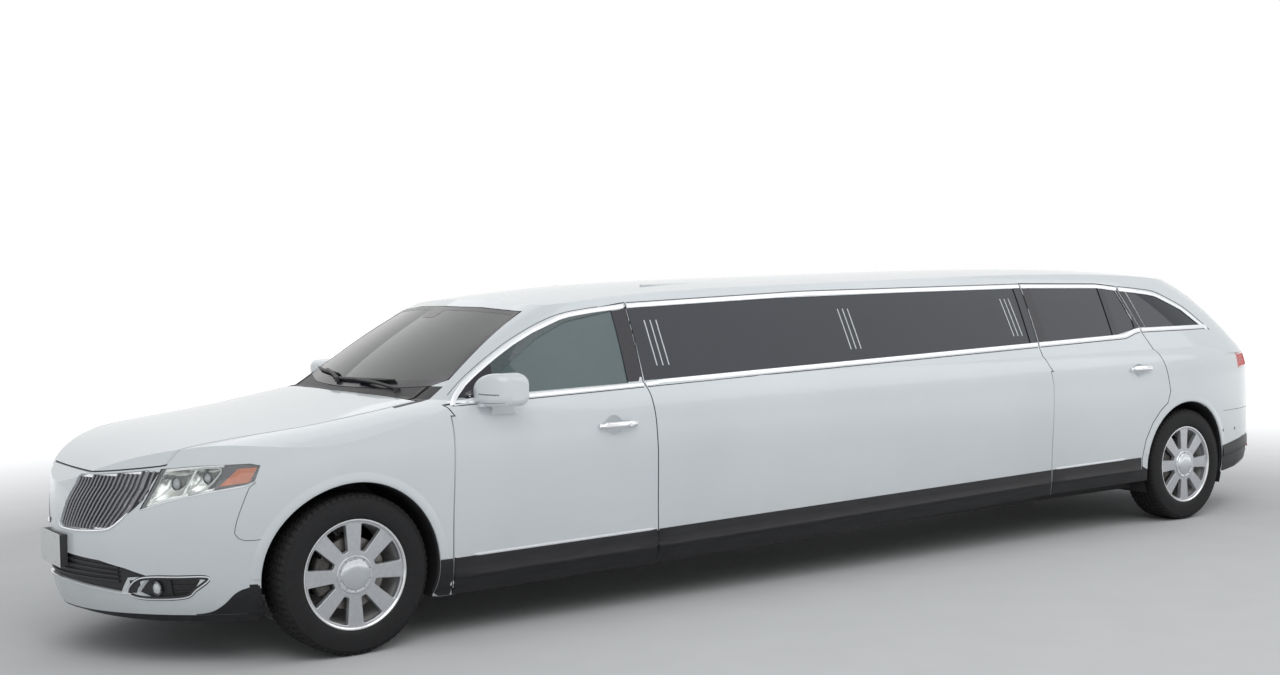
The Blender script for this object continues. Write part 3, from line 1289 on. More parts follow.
def hole_outline(middle, inset=0.0):
    """Rounded outline of one hole of the face, as (x, z), from its corners in its own frame."""
    (u0, v0), (u1, v1) = HOLE_CORNERS
    u0, v0, u1, v1 = u0 + inset, v0 - inset * 0.7, u1 - inset, v1 - inset * 1.2
    corners = [(u0, -v0), (u1, -v1), (u1, v1), (u0, v0)]
    result = []
    for i, radius in enumerate((0.0080, 0.0060, 0.0060, 0.0080)):
        here = Vector(corners[i])
        a = (Vector(corners[i - 1]) - here).normalized()
        b = (Vector(corners[(i + 1) % 4]) - here).normalized()
        half = a.angle(b) / 2
        centre = here + (a + b).normalized() * (radius / math.sin(half))
        p0, p1 = here + a * (radius / math.tan(half)) - centre, here + b * (radius / math.tan(half)) - centre
        start = math.atan2(p0.y, p0.x)
        turn = (math.atan2(p1.y, p1.x) - start + math.pi) % math.tau - math.pi
        for k in range(6):
            angle = start + turn * k / 5
            result.append((centre.x + radius * math.cos(angle), centre.y + radius * math.sin(angle)))
        if i == 1:
            reach = math.hypot(u1, v1)
            for k in range(1, 8):
                v = (v1 - 0.006) * (k / 4 - 1)
                result.append((math.sqrt(reach * reach - v * v) - 0.0012, v))
    cos_m, sin_m = math.cos(middle), math.sin(middle)
    return [(u * cos_m - v * sin_m, u * sin_m + v * cos_m) for u, v in result]


def rim_face(name, centre, side, body):
    """The wheel's flat face with its eight rounded holes, their walls going in, and the step to the lip."""
    bm = bmesh.new()

    def ring(points, offset):
        return [bm.verts.new((centre[0] + x, centre[1] + side * offset, centre[2] + z)) for x, z in points]

    def bridge(a, b):
        count = len(a)
        for k in range(count):
            m = (k + 1) % count
            bm.faces.new((a[k], a[m], b[m], b[k]))

    steps = 96
    circle = [(math.cos(math.tau * k / steps), math.sin(math.tau * k / steps)) for k in range(steps)]
    outer = ring([(FACE_RADIUS * c, FACE_RADIUS * s) for c, s in circle], FACE_Y)
    inner = ring([(CAP_SEAT * c, CAP_SEAT * s) for c, s in circle], FACE_Y + 0.0005)
    holes = []
    for k in range(SPOKES):
        middle = math.tau * (k + 0.5) / SPOKES + math.pi / 2
        holes.append((ring(hole_outline(middle, 0.0), FACE_Y),
                      ring(hole_outline(middle, 0.0022), FACE_Y - 0.0022),
                      ring(hole_outline(middle, 0.0034), FACE_Y - 0.026)))
    edges = []
    for loop in [outer, inner] + [h[0] for h in holes]:
        for k in range(len(loop)):
            edges.append(bm.edges.new((loop[k], loop[(k + 1) % len(loop)])))
    bmesh.ops.triangle_fill(bm, edges=edges, use_beauty=True, use_dissolve=False)
    for top, bevelled, deep in holes:
        bridge(top, bevelled)
        bridge(bevelled, deep)
    # back of the spokes
    back_outer = ring([(FACE_RADIUS * c, FACE_RADIUS * s) for c, s in circle], FACE_Y - 0.026)
    back_inner = ring([(CAP_SEAT * c, CAP_SEAT * s) for c, s in circle], FACE_Y - 0.026)
    edges = []
    for loop in [back_outer, back_inner] + [h[2] for h in holes]:
        for k in range(len(loop)):
            a, b = loop[k], loop[(k + 1) % len(loop)]
            found = bm.edges.get((a, b))
            edges.append(found if found else bm.edges.new((a, b)))
    bmesh.ops.triangle_fill(bm, edges=edges, use_beauty=True, use_dissolve=False)
    bridge(outer, back_outer)
    bridge(inner, back_inner)
    verts = [v.co.copy() for v in bm.verts]
    bm.verts.index_update()
    faces = [[v.index for v in f.verts] for f in bm.faces]
    bm.free()
    return finish_mesh(name, verts, faces, body, "wheel_silver", sharp=30)


def cap_studs(tag, centre, side, body):
    """Ten small studs round the wheel's cap."""
    verts, faces = [], []
    for k in range(10):
        angle = math.tau * (k + 0.5) / 10
        base = len(verts)
        for u, v, w in ((-0.0035, -0.0028, 0), (0.0035, -0.0028, 0), (0.0035, 0.0028, 0),
                        (-0.0035, 0.0028, 0), (-0.0024, -0.0018, 1), (0.0024, -0.0018, 1),
                        (0.0024, 0.0018, 1), (-0.0024, 0.0018, 1)):
            radius = 0.0765 + u
            x = radius * math.cos(angle) - v * math.sin(angle)
            z = radius * math.sin(angle) + v * math.cos(angle)
            verts.append(Vector((centre[0] + x, centre[1] + side * (0.1000 + 0.0026 * w), centre[2] + z)))
        faces += [tuple(base + i for i in f) for f in CUBE_FACES]
    finish_mesh("wheel_cap_studs_" + tag, verts, faces, body, "dark_chrome")


def valve(tag, centre, side, body):
    angle = 1.15
    root, tip = (Vector((centre[0] + radius * math.cos(angle), centre[1] + side * offset,
                         centre[2] + radius * math.sin(angle))) for radius, offset in VALVE)
    tube("tyre_valve_" + tag, [root, root.lerp(tip, 0.5), root.lerp(tip, 0.52), tip], 0.0042, body,
         "black_plastic")


def brakes(end, side_name, centre, side, body):
    """A disc that turns with the wheel, and a caliper that stays with the axle end, ahead of the disc."""
    tag = end + "_" + side_name
    disc = [(0.080, 0.020), (0.165, 0.020), (0.166, 0.026), (0.166, 0.044), (0.165, 0.048), (0.080, 0.048)]
    turned("brake_disc_" + tag, disc, centre, body, "brake_disc", side=side, steps=96)
    holder = "knuckle_" + side_name if end == "front" else "body"
    arcs = [math.radians(a) for a in range(-28, 29, 8)]
    verts = [Vector(centre) + Vector((radius * math.cos(a), side * offset, radius * math.sin(a)))
             for a in arcs for radius, offset in CALIPER]
    finish_mesh("brake_caliper_" + tag, verts, ring_faces(len(arcs), len(CALIPER)), holder, "steel")


def wheel(end, side_name, side):
    """One road wheel: tyre, rim, hub, cap and valve, and the brake behind it."""
    tag = end + "_" + side_name
    body = "wheel_" + tag
    station = 0 if end == "front" else REAR
    centre = (at(station), side * HALF_TRACK, AXLE_Z)
    tyre_body("tyre_carcass_" + tag, centre, body, "tyre_" + tag)
    tyre_blocks("tyre_tread_" + tag, centre, body)
    barrel = [(0.2410, 0.1005), (0.2530, 0.1008), (0.2536, 0.1045), (0.2515, LIP_Y), (0.2480, LIP_Y),
              (0.2425, 0.1035), (0.2412, 0.0965), (0.2385, 0.0900), (0.2300, 0.0500), (0.2275, -0.0800),
              (0.2300, -0.1000), (0.2400, -0.1075), (0.2520, -0.1075), (0.2536, -0.1040), (0.2530, -0.1008),
              (0.2410, -0.1005)]
    piece = turned("rim_barrel_" + tag, barrel, centre, body, "wheel_barrel", side=side, steps=120,
                   sharp=32)
    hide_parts("rim_" + tag)
    lip = [(0.2538, 0.1030), (0.2522, 0.1079), (0.2472, 0.1079), (0.2418, 0.1036), (0.2396, 0.0970),
           (0.2410, 0.0960), (0.2440, 0.1000), (0.2500, 0.1010)]
    turned("rim_lip_" + tag, lip, centre, body, "wheel_lip", side=side, steps=120, sharp=32)
    rim_face("rim_face_" + tag, centre, side, body)
    # Hub behind the face, with the stub of the axle inside it
    hub = [(0.0290, -0.0260), (0.0780, -0.0260), (0.0860, 0.0700), (0.0860, 0.0940), (0.0290, 0.0940)]
    turned("rim_hub_" + tag, hub, centre, body, "wheel_silver", side=side, steps=64)
    cap = [(0.0, 0.0945), (0.0885, 0.0945), (0.0890, 0.0985), (0.0870, 0.1010), (0.0820, 0.1018),
           (0.0765, 0.1005), (0.0700, 0.1008), (0.0675, 0.1040), (0.0620, 0.1055), (0.0300, 0.1070),
           (0.0, 0.1074)]
    turned("wheel_cap_" + tag, cap, centre, body, "cap_chrome", side=side, steps=72, sharp=28)
    cap_studs(tag, centre, side, body)
    valve(tag, centre, side, body)
    brakes(end, side_name, centre, side, body)


def wheels():
    for end in ENDS:
        for side_name, side in SIDES:
            wheel(end, side_name, side)


# Door handles, mirrors, wipers
HANDLES = (("front_door_", 1.310, 1.545, 0.9535), ("rear_door_", 5.440, 5.655, 1.0330))
HANDLE_SECTION = ((-0.5, -0.35), (-0.46, 0.1), (-0.3, 0.4), (0.0, 0.5), (0.3, 0.4), (0.46, 0.1),
                  (0.5, -0.35), (0.2, -0.5), (-0.2, -0.5))


def handles():
    """Bright pull handles on two feet over their finger bowls, with a key cap at the front door's."""
    def along_handle(base, tip, share, lift):
        normal = base[1].lerp(tip[1], share).normalized()
        return base[0].lerp(tip[0], share) + normal * lift, normal

    for prefix, s0, s1, z in HANDLES:
        for word, side in SIDES:
            body = prefix + word
            ends = side_hit(s0 + 0.004, z, side), side_hit(s1 - 0.004, z, side)
            line = [along_handle(*ends, k / 16, 0.012 + 0.022 * math.sin(math.pi * k / 16) ** 0.6)
                    for k in range(17)]
            strip("door_handle_" + body, line, 0.036, 0.018, body, "chrome",
                  profile=HANDLE_SECTION, taper=2)
            for share, length in ((0.05, 0.030), (0.93, 0.034)):
                box_piece("door_handle_foot_%s_%d" % (body, int(share * 100)),
                          along_handle(*ends, share, 0.006)[0], (length, 0.026, 0.026), body, "chrome",
                          bevel=0.007, segments=3)
            if prefix == "front_door_":
                turned("door_key_cap_" + word, [(0.0, 0.004), (0.0085, 0.004), (0.0095, 0.0), (0.0, 0.0)],
                       along_handle(*ends, 0.74, 0.0405)[0], body, "satin_chrome", steps=24,
                       side=side)


def mirror_foot(word, side):
    """The slim stalk that carries the mirror, from the door's shoulder up into the housing."""
    def rounded(value):
        return math.copysign(abs(value) ** 0.7, value)

    levels = ((1.050, 0.780, 0.075, 0.016), (1.066, 0.778, 0.070, 0.015), (1.084, 0.772, 0.062, 0.015),
              (1.104, 0.764, 0.056, 0.016))
    verts = []
    for index, (z, station, half_x, half_y) in enumerate(levels):
        base = abs(side_hit(station, 1.050, side)[0].y) - 0.004
        y = base + (0.962 - base) * (index / 3) ** 1.3
        for k in range(20):
            a = math.tau * k / 20
            verts.append(Vector((at(station) + half_x * rounded(math.cos(a)),
                                 side * (y + half_y * rounded(math.sin(a))), z)))
    finish_mesh("mirror_foot_" + word, verts, ring_faces(len(levels), 20), "front_door_" + word, "paint",
                sharp=45)


def mirrors():
    """Dress of the door mirrors: a glass face, a foot, a dotted marker lamp and a parting line."""
    for word, side in SIDES:
        body = "front_door_" + word
        mirror_foot(word, side)
        tree = tree_of(["mirror_" + word])

        def ahead_hit(y, z):
            """The mirror's forward face."""
            return cast((at(0.3), side * y, z), (-1, 0, 0), tree)

        rows = [[cast((at(1.2), side * y, z), (1, 0, 0), tree) for y in spread(0.945, 1.065, 9)]
                for z in spread(1.118, 1.214, 7)]
        rows = [filled(row) for row in rows if any(row)]
        skin_patch("mirror_glass_" + word, rows, body, "mirror_face", lifts=0.003, edge=0.001)
        line = mended([ahead_hit(0.965 + 0.100 * t, 1.154 - 0.004 * t) for t in spread(0, 1, 15)])
        strip("mirror_marker_" + word, line, 0.006, 0.0015, body, "lamp_grey")
        for k in range(1, 14, 2):
            place, normal = line[k]
            box_piece("mirror_marker_dot_%s_%d" % (word, k), place + normal * 0.0016, (0.003, 0.003, 0.003),
                      body, "bulb_glass", bevel=0.0008)
        # Dark parting line round the lower third
        low = [ahead_hit(y, 1.112) for y in spread(0.925, 1.075, 15)]
        strip("mirror_shell_line_" + word, mended([item for item in low if item]), 0.002, 0.0006, body,
              "seam")


def wiper(name, pivot, tip_a, tip_b, elbow):
    """A wiper with a tapered arm and a blade lying along the foot of the screen; points are (y, height)."""
    def on_glass(point, lift):
        place, normal = screen_hit(*point)
        return place + normal * lift, normal
    start, middle = on_glass(pivot, 0.016), on_glass(elbow, 0.019)
    tube(name + "_boss", [start[0] - Vector((0, 0, 0.020)), start[0] + Vector((0, 0, 0.006))], 0.016,
         "body", "black_plastic", sides=14)
    arm = [start, (start[0].lerp(middle[0], 0.5) + start[1] * 0.010, start[1]), middle]
    strip(name + "_arm", arm, 0.016, 0.008, "body", "black_plastic")
    blade = [on_glass(between(tip_a, tip_b, k / 20), 0.002) for k in range(21)]
    strip(name + "_blade", blade, 0.007, 0.012, "body", "wiper_rubber")
    spine = [(place + normal * 0.011, normal) for place, normal in blade]
    strip(name + "_spine", spine, 0.015, 0.006, "body", "black_plastic", taper=3)


def wipers():
    wiper("wiper_driver", (0.52, 1.158), (0.44, 1.196), (-0.16, 1.188), (0.14, 1.186))
    wiper("wiper_passenger", (-0.08, 1.186), (-0.14, 1.208), (-0.68, 1.216), (-0.36, 1.214))


# Inner faces, seats and cabin
INNER_FACES = {
    "roof": ("headliner", lambda n, c: n.z < -0.3 or n.y * c.y < -0.02),
    "stretch_panels": ("side_trim", lambda n, c: n.y * c.y < -0.3),
    "rear_quarters": ("side_trim", lambda n, c: n.y * c.y < -0.3 or n.x > 0.5),
    "front_door_left": ("side_trim", lambda n, c: n.y < -0.3),
    "front_door_right": ("side_trim", lambda n, c: n.y > 0.3),
    "rear_door_left": ("side_trim", lambda n, c: n.y < -0.3),
    "rear_door_right": ("side_trim", lambda n, c: n.y > 0.3),
    "tailgate": ("side_trim", lambda n, c: n.x > 0.35),
    "bonnet": ("bonnet_pad", lambda n, c: n.z < -0.5),
    "front_bumper": ("underbody", lambda n, c: n.x < -0.4),
    "rear_bumper": ("underbody", lambda n, c: n.x > 0.4),
    "front_wings": ("underbody", lambda n, c: n.y * c.y < -0.3),
    "floor": ("carpet", lambda n, c: n.z > 0.5),
}
# Share of a cushion's height that its crown takes up
CROWN = 0.10


def line_inner_faces():
    for name, (material, inner) in INNER_FACES.items():
        node = nodes[name]
        node.data.materials.append(MATERIALS[material])
        for polygon in node.data.polygons:
            normal = node.matrix_world.to_3x3() @ polygon.normal
            if inner(normal, node.matrix_world @ polygon.center):
                polygon.material_index = 1


def cushion(name, place, size, turn=(0, 0, 0), channels=0):
    """A stuffed form at (station, y, z): crowned on top, its sides drawn in between the corners, with
    sewn channels and a piping round its upper edge. Turn is in degrees."""
    bm = bmesh.new()
    bmesh.ops.create_cube(bm, size=2)
    bmesh.ops.subdivide_edges(bm, edges=bm.edges, cuts=15, use_grid_fill=True)
    rotation = Euler([math.radians(angle) for angle in turn]).to_matrix()
    centre = Vector((at(place[0]), place[1], place[2]))
    half = [value / 2 for value in size]
    verts = []
    for vert in bm.verts:
        x, y, z = vert.co
        round_off = (abs(x) ** 7 + abs(y) ** 7 + abs(z) ** 7) ** (-1 / 7)
        x, y, z = x * round_off, y * round_off, z * round_off
        swell = (1 - x * x) * (1 - y * y)
        phase = (x * 0.5 + 0.5) * channels
        depth = 0.0
        if 0.2 < phase < channels - 0.2:
            depth = math.exp(-(abs(phase - round(phase)) / 0.055) ** 2) * 0.16
        pull = 1 - 0.035 * (1 - x * x if abs(y) > 0.9 else 0) - 0.035 * (1 - y * y if abs(x) > 0.9 else 0)
        lift = z * (1 - CROWN) + (CROWN * swell if z > 0 else 0) - (depth * (0.4 + 0.6 * swell)
                                                                    if z > 0.2 else 0)
        verts.append(rotation @ Vector((x * half[0] * pull, y * half[1] * pull, lift * half[2])) + centre)
    faces = [[v.index for v in f.verts] for f in bm.faces]
    bm.free()
    piece = finish_mesh(name, verts, faces, "body", "seat_leather", sharp=60)
    seam = []
    for k in range(48):
        c, s = math.cos(math.tau * k / 48), math.sin(math.tau * k / 48)
        reach = (abs(c) ** 7 + abs(s) ** 7) ** (-1 / 7) * 0.985
        seam.append(rotation @ Vector((c * reach * half[0], s * reach * half[1], half[2] * 0.35)) + centre)
    tube(name + "_piping", seam, 0.0035, "body", "seat_piping", sides=6, closed=True)
    return piece


def seats():
    """Front seats, rear bench and the side bench along the right side."""
    for word, side in SIDES:
        y = side * 0.40
        seat = cushion("front_seat_cushion_" + word, (1.320, y, 0.492), (0.49, 0.42, 0.135), channels=5)
        cushion("front_seat_back_" + word, (1.672, y, 0.850), (0.56, 0.42, 0.115), (0, -100, 0), 5)
        cushion("front_headrest_" + word, (1.735, y, 1.205), (0.14, 0.26, 0.085), (0, -97, 0))
        if side > 0:
            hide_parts("front_seats")
        block("front_seat_base_" + word, (1.32, y, 0.365), (0.44, 0.38, 0.125), "black_plastic", bevel=0.02)
        block("front_seat_shell_" + word, (1.738, y, 0.830), (0.022, 0.38, 0.50), "black_plastic",
              bevel=0.009, pitch=-10)
        for offset in (-0.06, 0.06):
            post = [(at(1.722), y + offset, 1.10), (at(1.735), y + offset, 1.17)]
            tube("headrest_post_%s_%d" % (word, offset > 0), post, 0.006, "body", "satin_chrome")
    for index in range(3):
        y = (index - 1) * 0.410
        seat = cushion("rear_seat_cushion_%d" % index, (5.290, y, 0.475), (0.49, 0.40, 0.150), channels=5)
        cushion("rear_seat_back_%d" % index, (5.565, y, 0.830), (0.56, 0.40, 0.105), (0, -101, 0), 5)
        if index == 1:
            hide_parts("rear_bench")
    block("rear_bench_base", (5.30, 0, 0.352), (0.46, 1.22, 0.10), "black_plastic", 0.015)
    block("rear_bench_shell", (5.622, 0, 0.800), (0.020, 1.22, 0.56), "carpet", 0.008, -11)
    for index in range(4):
        s = 2.200 + 2.350 * (index + 0.5) / 4
        seat = cushion("side_seat_cushion_%d" % index, (s, -0.455, 0.462), (0.575, 0.400, 0.120),
                       channels=6)
        cushion("side_seat_back_%d" % index, (s, -0.715, 0.735), (0.575, 0.400, 0.105), (-83, 0, 0), 6)
        if index == 1:
            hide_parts("side_bench")
    block("side_bench_base", (3.375, -0.515, 0.350), (2.33, 0.46, 0.10), "gloss_black",
          0.01)
    block("side_bench_shell", (3.375, -0.785, 0.620), (2.33, 0.022, 0.62), "side_trim",
          0.006)
    block("side_bench_light", (3.375, -0.284, 0.392), (2.30, 0.006, 0.010), "bulb_glass",
          0.002)


DASH_PROFILE = ((0.405, 0.770), (0.405, 0.985), (0.470, 1.003), (0.640, 1.006), (0.770, 0.998),
                (0.835, 0.978), (0.870, 0.945), (0.880, 0.900), (0.868, 0.860), (0.846, 0.835),
                (0.838, 0.800), (0.820, 0.772), (0.760, 0.764))


def dash_skin():
    """The swept shell of the dashboard, whose ends curl forward and whose middle carries the stack."""
    verts = []
    for y in spread(-0.775, 0.775, 41):
        curl = max(0.0, (abs(y) - 0.62) / 0.155) ** 2 * 0.045
        for s, z in DASH_PROFILE:
            forward = curl * max(0.0, (s - 0.5) / 0.38)
            stack = 0.010 * math.exp(-(y / 0.17) ** 4) * (1 if s > 0.80 else 0)
            verts.append(Vector((at(s - forward + stack), y, z)))
    piece = finish_mesh("dashboard_skin", verts, ring_faces(41, len(DASH_PROFILE)), "body", "black_plastic",
                        sharp=40)
    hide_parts("dashboard")


def dashboard():
    """Dashboard with its screen, dials and vents, the column, console, pedals, mirror and visors."""
    dash_skin()
    block("dash_screen", (0.878, 0, 0.925), (0.010, 0.230, 0.080), "gloss_black")
    block("dash_trim_band", (0.874, -0.42, 0.885), (0.012, 0.50, 0.030), "satin_chrome",
          0.004)
    block("dash_controls", (0.866, 0, 0.838), (0.014, 0.230, 0.060), "gloss_black", bevel=0.004)
    knob = [(0.0, 0.010), (0.009, 0.010), (0.011, 0.0), (0.0, 0.0)]
    for k in range(6):
        turned("dash_knob_%d" % k, knob, (at(0.879), -0.088 + 0.035 * k, 0.838), "body", "satin_chrome",
               steps=20, axis="X")
    block("dial_cluster", (0.868, 0.40, 0.945), (0.012, 0.330, 0.075), "gloss_black", bevel=0.004)
    bezel = [(0.030, 0.0), (0.034, 0.0), (0.034, -0.004), (0.030, -0.004)]
    for k, y in enumerate((0.31, 0.49)):
        turned("dial_ring_%d" % k, bezel, (at(0.876), y, 0.945), "body", "satin_chrome",
               steps=36, axis="X")
    for k, (s, y) in enumerate(((0.862, -0.70), (0.884, -0.155), (0.884, 0.155), (0.862, 0.70))):
        for row in range(4):
            look = "satin_chrome" if row in (0, 3) else "black_plastic"
            block("dash_vent_%d_%d" % (k, row), (s, y, 0.905 + row * 0.016), (0.010, 0.075, 0.004), look,
                  0.001)
    block("column_shroud", (0.915, 0.40, 0.925), (0.13, 0.085, 0.070), "black_plastic", 0.018, 25, 3)
    outline = [(0.0, 0.030), (0.040, 0.028), (0.056, 0.016), (0.056, -0.012), (0.0, -0.012)]
    pad = turned("wheel_centre_pad", outline, (0, 0, 0), "body", "black_plastic", steps=40, axis="Z")
    centre = Matrix.Translation(Vector((at(1.047), 0.40, 0.988)))
    pad.data.transform(centre @ Matrix.Rotation(math.radians(-65), 4, "Y"))
    block("console", (1.28, 0, 0.405), (0.74, 0.20, 0.20), "black_plastic", bevel=0.03, segments=3)
    block("console_lid", (1.50, 0, 0.520), (0.26, 0.18, 0.035), "seat_leather", bevel=0.014, segments=3)
    block("selector", (1.14, 0, 0.535), (0.045, 0.045, 0.080), "gloss_black", bevel=0.016, segments=3)
    for k, (s, y, width) in enumerate(((0.86, 0.33, 0.045), (0.88, 0.47, 0.070))):
        block("pedal_%d" % k, (s, y, 0.42), (0.020, width, 0.075), "black_plastic", 0.006, -25)
    block("inner_mirror", (1.095, 0, 1.470), (0.020, 0.240, 0.060), "black_plastic", bevel=0.009,
          segments=3)
    for word, side in SIDES:
        block("sun_visor_" + word, (1.30, side * 0.38, 1.560), (0.16, 0.42, 0.014), "headliner",
              0.006, 10)


def door_cards():
    """Armrest, pocket, speaker, handle and switches on the inner side of each door."""
    speaker = [(0.0, 0.006), (0.070, 0.004), (0.082, 0.0), (0.082, -0.010), (0.0, -0.010)]
    for base, s0, s1, low in (("front_door", 0.70, 1.56, 0.0), ("rear_door", 4.90, 5.50, 0.04)):
        for word, side in SIDES:
            body = rider(base, word)
            middle = (s0 + s1) / 2
            tree = tree_of([body])

            def inside(s, z, lift):
                hit = tree.ray_cast(Vector((at(s), side * 0.3, z + low)), Vector((0, side, 0)), 2.0)[0]
                return Vector((at(s), (hit.y if hit else side * 0.88) - side * lift, z + low))

            def fitted(name, place, size, material, bevel, segments=3):
                box_piece(name + "_" + body, place, size, body, material, bevel, (0, 0, 0),
                          segments)

            fitted("armrest", inside(middle, 0.74, 0.012), (s1 - s0 - 0.16, 0.060, 0.062), "seat_leather",
                   0.018)
            fitted("door_pocket", inside(middle, 0.475, 0.008), (s1 - s0 - 0.20, 0.034, 0.12),
                   "black_plastic", 0.014)
            turned("speaker_" + body, speaker, inside(s0 + 0.12, 0.56, 0.004), body, "carpet",
                   steps=40, side=-side)
            fitted("inner_handle", inside(s0 + 0.20, 0.90, 0.010), (0.110, 0.020, 0.024), "satin_chrome",
                   0.008)
            fitted("switches", inside(middle - 0.12, 0.7775, 0.020), (0.12, 0.030, 0.010), "gloss_black",
                   0.003, 2)


BAR_TOP = 0.8495  # height of the bar's upper face
# Outline of a stemmed glass: radius, height
GLASS = ((0.0, 0.0), (0.028, 0.0), (0.028, 0.003), (0.005, 0.006), (0.005, 0.055), (0.026, 0.075),
         (0.034, 0.135), (0.032, 0.135), (0.024, 0.078), (0.0, 0.066))


def cabin():
    """Bar top with its ice wells and glasses, cabinet doors and a lit ceiling strip."""
    block("bar_top", (3.30, 0.603, 0.8465), (1.99, 0.390, 0.006), "gloss_black", 0.002)
    for k in range(5):
        s = 2.30 + 2.0 * (k + 0.5) / 5
        block("bar_door_%d" % k, (s, 0.4265, 0.555), (0.385, 0.006, 0.46), "cabinet", bevel=0.002)
        block("bar_door_pull_%d" % k, (s - 0.16, 0.4225, 0.60), (0.012, 0.006, 0.12), "satin_chrome",
              0.002)
    well = [(0.082, 0.004), (0.095, 0.004), (0.095, 0.0), (0.086, 0.0)]
    for k, s in enumerate((2.55, 3.30, 4.05)):
        turned("ice_well_%d" % k, well, (at(s), 0.66, BAR_TOP), "body", "satin_chrome", steps=40,
               axis="Z")
    for k in range(8):
        place = (at(2.72 + (k % 4) * 0.10 + (k // 4) * 0.75), 0.70 - 0.05 * (k % 2), BAR_TOP)
        turned("glass_%d" % k, GLASS, place, "body", "lamp_lens", steps=24, axis="Z")
    for word, side in SIDES:
        line = [(at(1.95 + 0.2 * k), side * 0.44, 1.6445 + 0.0011 * min(k, 8)) for k in range(17)]
        tube("ceiling_light_" + word, line, 0.006, "body", "bulb_glass", sides=6)


ENGINE = -0.035  # station of the engine cover's middle


def engine_bay():
    """Engine cover, radiator with its fins and hoses, battery and coolant tank."""
    block("engine_cover", (ENGINE, 0, 0.7955), (0.46, 0.60, 0.007), "black_plastic")
    for k in range(6):
        block("engine_cover_rib_%d" % k, (ENGINE, -0.20 + 0.08 * k, 0.797), (0.38, 0.020, 0.005),
              "dark_chrome", 0.0015)
    block("radiator", (-0.855, 0, 0.52), (0.045, 0.66, 0.42), "dark_chrome", 0.004)
    for k in range(24):
        block("radiator_fin_%d" % k, (-0.881, 0, 0.325 + 0.017 * k), (0.006, 0.62, 0.003), "steel",
              bevel=0.0005)
    hose = ((-0.835, 0.22, 0.66), (-0.60, 0.24, 0.70), (-0.40, 0.22, 0.70), (-0.335, 0.20, 0.68))
    for word, side in SIDES:
        line = [(at(s), side * y, z) for s, y, z in hose]
        tube("radiator_hose_" + word, line, 0.024, "body", "black_plastic", sides=12)
    block("battery", (0.10, -0.425, 0.60), (0.26, 0.17, 0.19), "black_plastic", bevel=0.008)
    block("coolant_tank", (0.05, 0.46, 0.60), (0.22, 0.16, 0.18), "lamp_lens", bevel=0.03, segments=3)


# The tail: black lower part, lamps, plate recess, wiper, spoiler and exhaust tips
TAIL_FOOT = ((6.300, 0.300), (6.500, 0.285), (7.250, 0.345))


def ring_hit(angle, z, tree=None):
    """Where a level ray towards the tail's middle meets the skin. At 0 it comes from straight behind and at
    a quarter turn from the left."""
    centre = Vector((at(REAR + 0.45), 0, z))
    away = Vector((-math.cos(angle), math.sin(angle), 0))
    return cast(centre + away * 2.2, -away, tree, 3.0)


def tail_ring(z, a0, a1, count, tree=None):
    """Points round the tail at a height, or at a height that depends on the station."""
    result = []
    for angle in spread(math.radians(a0), math.radians(a1), count):
        level = z
        if callable(z):
            level = z(REAR + 0.45 + 0.72 * math.cos(angle))
            for _ in range(2):
                hit = ring_hit(angle, level, tree)
                if hit:
                    level = z(AXLE_X - hit[0].x)
        result.append(ring_hit(angle, level, tree))
    return mended(result)


def tail_foot(station):
    return along_line(TAIL_FOOT, station, 0, 1) + 0.0015


def tail_black_top(station):
    """Upper edge of the black lower part, falling towards the rear arch."""
    return 0.462 + 0.040 * max(0.0, min(1.0, (station - 6.47) / 0.35))


def tail_lower():
    """Black valance round the tail, its step, reflectors, sensors, a tow cover and the exhaust tips."""
    def valance_level(share):
        return lambda s: tail_foot(s) + (tail_black_top(s) - tail_foot(s)) * share

    shares = (0.0, 0.10, 0.30, 0.52, 0.60, 0.66, 0.84, 0.94, 1.0)
    lifts = [0.0015, 0.003, 0.0035, 0.004, 0.010, 0.011, 0.009, 0.006, 0.0015]
    rows = [tail_ring(valance_level(share), -91.5, 91.5, 110) for share in shares]
    skin_patch("tail_valance", rows, "body", "sill_plastic", lifts=lifts, sharp=18)
    line = tail_ring(lambda s: tail_black_top(s) + 0.004, -58, 58, 80)
    strip("tail_valance_strip", line, 0.011, 0.006, "body", "satin_chrome", taper=2)
    for word, side in SIDES:
        line = tail_ring(0.418, side * 40, side * 57, 12)
        strip("tail_reflector_" + word, line, 0.022, 0.005, "body", "red_lens", lift=0.009)
        for index, (angle, z) in enumerate(((14, 0.560), (38, 0.560), (80, 0.566))):
            sensor(*ring_hit(side * math.radians(angle), z), "tail_sensor_%d_%s" % (index, word))
        sensor(*side_hit(6.470, 0.566, side), "quarter_sensor_0_" + word)
        exhaust_tip(word, side)
    cover = [rear_hit(y, z) for y, z in rounded_rectangle(0.43, 0.535, 0.045, 0.030, 0.010)]
    strip("tow_cover_seam", mended(cover), 0.0022, 0.0005, "body", "seam", closed=True)
    # Scuff plate on the bumper's top, under the tailgate
    rows = [rear_line(-0.56, 0.56, 41, z) for z in (0.690, 0.680, 0.670)]
    skin_patch("bumper_scuff_strip", rows, "body", "black_plastic", lifts=0.0003)


def rounded_rectangle(y, z, half_y, half_z, corner, steps=5):
    """Closed outline of (y, z) points round a rectangle."""
    points = []
    for cy, cz, start in ((half_y, half_z, 0), (-half_y, half_z, 90), (-half_y, -half_z, 180),
                          (half_y, -half_z, 270)):
        for k in range(steps):
            a = math.radians(start + 90 * k / (steps - 1))
            middle = (y + cy - math.copysign(corner, cy), z + cz - math.copysign(corner, cz))
            points.append((middle[0] + corner * math.cos(a), middle[1] + corner * math.sin(a)))
    return straight_points(points + points[:1], 0.012)[:-1]


